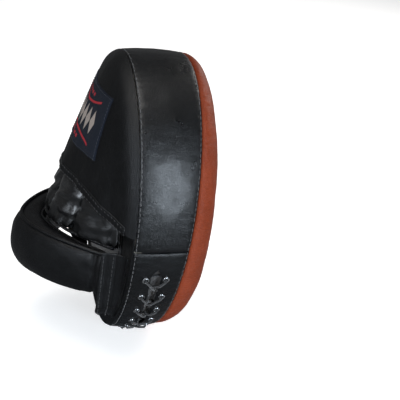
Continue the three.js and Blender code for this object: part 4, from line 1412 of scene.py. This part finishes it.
    def laid_on(self, roll, line, lift):
        """A path pressed onto the cover, with the direction off it."""
        tree = BVHTree.FromObject(roll, bpy.context.evaluated_depsgraph_get())
        path, out = [], []
        for p in line:
            at, normal, _, _ = tree.find_nearest(Vector(p) * MM)
            path.append(np.array(at) / MM)
            out.append(np.array(normal))
        kernel = np.ones(7) / 7
        out, path = (
            np.stack([np.convolve(np.pad(np.array(line)[:, k], 3, "edge"), kernel, "valid")
                      for k in range(3)], 1)
            for line in (out, path))
        out /= np.linalg.norm(out, axis=1, keepdims=True)
        return path + out * lift, out


class MITT_OT_end_bands(bpy.types.Operator):
    """Make the leather bands that join the bolster's ends to the pad's back"""

    bl_idname = "mitt.end_bands"
    bl_label = "End bands"

    LOW, HIGH, STRAIGHT = -98.0, -17.0, -75.0
    FOOT_X, FOOT_Y, HEAD_X, HEAD_Y, TAIL = 101.0, 3.4, 88.0, 24.0, 9.0

    def place(self, side, z, share):
        """A point of a band, from the pad's back (share 0) up to the bolster's end (share 1)."""
        below = clamp01((self.STRAIGHT - z) / (self.STRAIGHT - self.LOW))
        foot = np.minimum(self.FOOT_X, 0.95 * oval_side(z))
        head_x = mix(self.HEAD_X, foot - self.TAIL, below)
        head_y = mix(self.HEAD_Y, self.FOOT_Y + self.TAIL, below**2.2)
        bend_x, bend_y = mix(foot, head_x, 0.85), mix(self.FOOT_Y, head_y, 0.1)
        x = mix(mix(foot, bend_x, share), mix(bend_x, head_x, share), share)
        y = mix(mix(self.FOOT_Y, bend_y, share), mix(bend_y, head_y, share), share)
        return np.stack([side * x, y, z + 0 * x], -1)

    def execute(self, context):
        for side, name, node_name in ((-1, "end_band_left", "bolster_band_left"),
                                      (1, "end_band_right", "bolster_band_right")):
            z = np.linspace(self.LOW, self.HIGH, 56)[:, None]
            run = np.linspace(0, 1, 30)[None, :]
            across = (z - self.LOW) / (self.HIGH - self.LOW)
            grid = self.place(side, z, run)
            crease = -0.9 * np.exp(-(((run - 0.55) / 0.05) ** 2))
            crease = crease - 0.9 * np.exp(-(((run - 0.85) / 0.05) ** 2))
            grid[..., 0] += side * (crease + 0.35 * ripple(grid, (10, 10, 14), 41 + side))
            piece = surface(name, grid, inside=(0, 11, -46))
            set_attribute(piece, "edge", np.broadcast_to(
                np.exp(-np.minimum(across, 1 - across) * 25), grid.shape[:2]))
            thicken(piece, 1.5)
            settle(piece)
            finish_piece(piece, material("Bolster leather"), None, "bolster_leather", node_name)
            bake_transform(piece)
            for at in (0.68, 0.95):
                column = int(at * (run.size - 1))
                row = grid[3:-3, column] + (side * 0.25, 0, 0)
                add_stitch_row("bands" + ("_left" if side < 0 else "_right"), row, (side * 0.95, 0.3, 0))
        return {"FINISHED"}


class MITT_OT_lacing(bpy.types.Operator):
    """Make the eyelets, the lace and the tongue behind the slit"""

    bl_idname = "mitt.lacing"
    bl_label = "Lacing"

    def execute(self, context):
        lacing = context.scene.mitt_lacing
        places = eyelet_places()
        points = np.array([on_side(turn, y, self.seat(turn, y)) for turn, y in places])
        out = np.array([outward(turn) for turn, _ in places])
        mesh = bpy.data.meshes.new("eyelets")
        mesh.from_pydata((points * MM).tolist(), [], [])
        rings = link("eyelets", mesh)
        set_attribute(rings, "out", out, "FLOAT_VECTOR")
        run_tree(rings, eyelet_tree(), {
            "Bore": lacing.bore, "Flange": lacing.flange, "Rise": 0.0007, "Length": 0.0028,
            "Material": material("Eyelet metal")})
        rows = [f"eyelet_{row}_{i:02d}" for row in ("back", "front") for i in range(1, PAIRS + 1)]
        finish_piece(rings, None, "mitt", "eyelet_metal", *rows)
        path = smooth_path(self.lace_route(), 4)
        lace = tube("lace_cord", path, lacing.lace / MM, 10, out=outward(np.arctan2(
            path[:, 2] / HALF_HEIGHT, path[:, 0] / HALF_WIDTH)))
        finish_piece(lace, material("Lace cord"), "mitt", "lace_cord", "lace")
        self.tongue()
        return {"FINISHED"}

    def seat(self, turn, y):
        return float(side_height(np.array(turn), np.array(y))) + 0.15

    def lace_route(self):
        """One lace, criss-crossed: over the leather to the slit, down, under the other edge and up."""
        def at(angle, y, height):
            over = 1.4 if height > -1 else 0.0
            return on_side(angle, MIDDLE_Y + y, height + over)

        up = 1.9
        def strand(first_side, crossing):
            route = [at(PAIR_ANGLES[0], first_side * ROW_OFFSET, h) for h in (-2.6, -0.4)]
            for i in range(PAIRS - 1):
                side = first_side if i % 2 == 0 else -first_side
                for share, height in ((0.035, up), (0.19, up), (0.3, up - 0.3), (0.5, crossing),
                                      (0.69, -LACE_UNDER + 0.5), (0.82, -LACE_UNDER - 0.1),
                                      (0.945, -LACE_UNDER)):
                    turn = mix(PAIR_ANGLES[i], PAIR_ANGLES[i + 1], share)
                    route.append(at(turn, side * ROW_OFFSET * (1 - 2 * share), height))
                route += [at(PAIR_ANGLES[i + 1], -side * ROW_OFFSET, h) for h in (-2.6, -0.4)]
            return route

        def tucked_end(side, share):
            end, edge = PAIR_ANGLES[-1], OVERRUN * share
            steps = ((0.1 * edge, 0.9, up), (0.6 * edge, 0.5, up), (0.95 * edge, 0.12, 0.8),
                     (edge, 0.03, -2), (edge, 0.02, -LACE_UNDER))
            return [at(end + turn, side * ROW_OFFSET * part, height) for turn, part, height in steps]

        link_row = [at(PAIR_ANGLES[0], part * ROW_OFFSET, -LACE_UNDER - 0.2) for part in (0.6, 0, -0.6)]
        return (tucked_end(1, 0.2)[::-1] + strand(1, 1.0)[::-1] + link_row + strand(-1, -1.9)
                + tucked_end(-1, 0.62))

    def tongue(self):
        spare = 0.35 * OVERRUN
        angle = np.linspace(SLIT_FROM + spare, SLIT_TO - spare, 200)[:, None]
        across = np.linspace(-1, 1, 20)[None, :]
        height = -CHANNEL_DEPTH + 1.7 + 0.5 * np.cos(across * 1.4)
        grid = on_side(angle, MIDDLE_Y + 12.2 * across, height + 0 * angle)
        grid += outward(angle) * (0.35 * ripple(grid, (9, 9, 9), 50))[..., None]
        piece = surface("tongue_cloth", grid)
        thicken(piece, FABRIC, 0)
        finish_piece(piece, material("Tongue fabric"), "mitt", "tongue_fabric", "lace_tongue")


class MITT_OT_sewing(bpy.types.Operator):
    """Sew the seams: rows of stitches along the leathers' edges"""

    bl_idname = "mitt.sewing"
    bl_label = "Stitches"

    def execute(self, context):
        angle = np.linspace(0, 2 * math.pi, 721)
        for y in (np.full_like(angle, -2.0), front_seam(HALF_HEIGHT * np.sin(angle)) + 1.8):
            self.side_row("light", angle, y)
        y = np.linspace(front_seam(JOIN_Z) + 3, -3, 60)
        for turn in (math.pi + JOIN_TURN + 0.016, 2 * math.pi - JOIN_TURN - 0.016):
            self.side_row("dark", np.full_like(y, turn), y)
        for name, group, thread, body, thinner in (
                ("seam_stitches", "light", "Light thread", "mitt", 1.0),
                ("leather_stitches", "dark", "Dark thread", "mitt", 0.9),
                ("label_stitches", "label", "Navy thread", "mitt", 0.6),
                ("bolster_stitches", "bolster", "Dark thread", "bolster", 0.9)):
            slot = {"label": "label_weave", "bolster": "bolster_leather"}.get(group, "black_leather")
            finish_piece(sew(name, group, thread, thinner), None, body, slot)
        for end in ("left", "right"):
            piece = sew("band_stitches_" + end, "bands_" + end, "Dark thread", 0.9)
            finish_piece(piece, None, None, "bolster_leather")
            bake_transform(piece)
        return {"FINISHED"}

    def side_row(self, group, angle, y):
        out = outward(angle)
        add_stitch_row(group, on_side(angle, y, side_height(angle, y) + 0.12), out)


class MITT_OT_foam(bpy.types.Operator):
    """Give the foam inside its materials"""

    bl_idname = "mitt.foam"
    bl_label = "Foam"

    def execute(self, context):
        for name, foam in (("strike_foam", "Soft foam"), ("palm_bed_foam", "Soft foam"),
                           ("core_foam", "Dense foam")):
            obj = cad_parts[name]
            if obj.data.materials:
                obj.material_slots[0].link = "OBJECT"
                obj.material_slots[0].material = material(foam)
            else:
                obj.data.materials.append(material(foam))
        return {"FINISHED"}


class MITT_OT_stage(bpy.types.Operator):
    """Set the floor, the soft lights and the camera"""

    bl_idname = "mitt.stage"
    bl_label = "Stage"

    LIGHTS = (
        # name, place, aimed at, width, height, watts, colour
        ("Window", (-1.2, -0.36, 0.14), (-0.1, -0.02, 0.03), 0.24, 0.95, 13.0, (0.78, 0.89, 1.0)),
        ("Side strip", (-1.1, 1.0, 0.5), (-0.03, 0.05, 0), 0.3, 0.9, 9.0, (0.82, 0.9, 1.0)),
        ("Overhead", (-0.25, 0.45, 1.7), (0, 0, 0), 1.0, 1.0, 13.0, (1.0, 0.98, 0.95)),
        ("Front", (0.9, -1.5, 0.9), (0, -0.05, 0), 0.8, 0.8, 15.0, (1.0, 0.97, 0.93)),
    )

    def execute(self, context):
        scene = context.scene
        self.camera(scene)
        self.floor()
        for name, at, aim, width, height, watts, colour in self.LIGHTS:
            light = bpy.data.lights.new(name, "AREA")
            light.shape, light.size, light.size_y = "RECTANGLE", width, height
            light.energy, light.color = watts, colour
            obj = bpy.data.objects.new(name, light)
            obj.location = at
            obj.rotation_euler = (Vector(aim) - Vector(at)).to_track_quat("-Z", "Y").to_euler()
            scene.collection.objects.link(obj)
        world = bpy.data.worlds.new("Studio")
        world.use_nodes = True
        tree = world.node_tree
        seen = node(tree, "ShaderNodeLightPath").outputs["Is Camera Ray"]
        background = tree.nodes["Background"]
        background.inputs["Color"].default_value = (0.95, 0.97, 1.0, 1)
        tree.links.new(remap(tree, seen, 0.0, 1.0, 0.12, 0.95), background.inputs["Strength"])
        scene.world = world
        scene.view_settings.view_transform = "Standard"
        return {"FINISHED"}

    def camera(self, scene):
        data = bpy.data.cameras.new("Camera")
        data.lens, data.sensor_width = CAMERA_LENS, CAMERA_SENSOR
        data.clip_start, data.clip_end = 0.01, 50
        camera = bpy.data.objects.new("Camera", data)
        right, up = Vector(CAMERA_RIGHT), Vector(CAMERA_UP)
        turn = Matrix((right, up, right.cross(up))).transposed().to_4x4()
        camera.matrix_world = Matrix.Translation(CAMERA_AT) @ turn
        scene.collection.objects.link(camera)
        scene.camera = camera

    def floor(self):
        """A pale, flat floor under the mitt."""
        low = min(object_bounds()[0].z, CAD_BOX[0].z) / MM - 0.3
        x = np.linspace(-6000, 6000, 61)[:, None]
        y = np.linspace(-6000, 6000, 61)[None, :]
        floor = surface("floor", np.stack(np.broadcast_arrays(x, y, low), -1), inside=(0, 0, low - 100))
        made, tree, shader = new_material("Pale floor", roughness=0.8, specular_ior_level=0.1)
        # Painted reflection: glossy rays see the floor dark grey and without its glow, so the leathers
        # reflect a darker floor than the camera sees.
        mirrored = node(tree, "ShaderNodeLightPath").outputs["Is Glossy Ray"]
        tree.links.new(blend_colours(tree, mirrored, (0.9, 0.9, 0.9, 1), (0.16, 0.165, 0.17, 1)),
                       shader.inputs["Base Color"])
        shader.inputs["Emission Color"].default_value = (1, 1, 1, 1)
        tree.links.new(remap(tree, mirrored, 0.0, 1.0, 0.6, 0.0), shader.inputs["Emission Strength"])
        floor.data.materials.append(made)
        floor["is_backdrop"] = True


class MITT_PT_panel(bpy.types.Panel):
    """Steps and settings of the mitt"""

    bl_idname = "MITT_PT_panel"
    bl_label = "Focus mitt"
    bl_space_type = "VIEW_3D"
    bl_region_type = "UI"
    bl_category = "Mitt"

    def draw(self, context):
        scene = context.scene
        for step in STEPS:
            self.layout.operator(step.bl_idname)
        for group in (scene.mitt_leathers, scene.mitt_sewing, scene.mitt_lacing, scene.mitt_stuffing):
            box = self.layout.box()
            for key in type(group).__annotations__:
                box.prop(group, key)


STEPS = (
    MITT_OT_target, MITT_OT_side_leathers, MITT_OT_back_panel, MITT_OT_cover, MITT_OT_label,
    MITT_OT_finger_stalls, MITT_OT_bolster, MITT_OT_end_bands, MITT_OT_lacing, MITT_OT_sewing,
    MITT_OT_foam, MITT_OT_stage,
)
SETTINGS = {"mitt_leathers": MittLeathers, "mitt_sewing": MittSewing, "mitt_lacing": MittLacing,
            "mitt_stuffing": MittStuffing}
CLASSES = (*SETTINGS.values(), *STEPS, MITT_PT_panel)


def register():
    for cls in CLASSES:
        bpy.utils.register_class(cls)
    for key, cls in SETTINGS.items():
        setattr(bpy.types.Scene, key, PointerProperty(type=cls))


def unregister():
    for key in SETTINGS:
        delattr(bpy.types.Scene, key)
    for cls in reversed(CLASSES):
        bpy.utils.unregister_class(cls)


def main():
    """Makes the whole mitt."""
    register()
    for step in STEPS:
        group, _, call = step.bl_idname.partition(".")
        getattr(getattr(bpy.ops, group), call)()


if __name__ == "__main__":
    main()
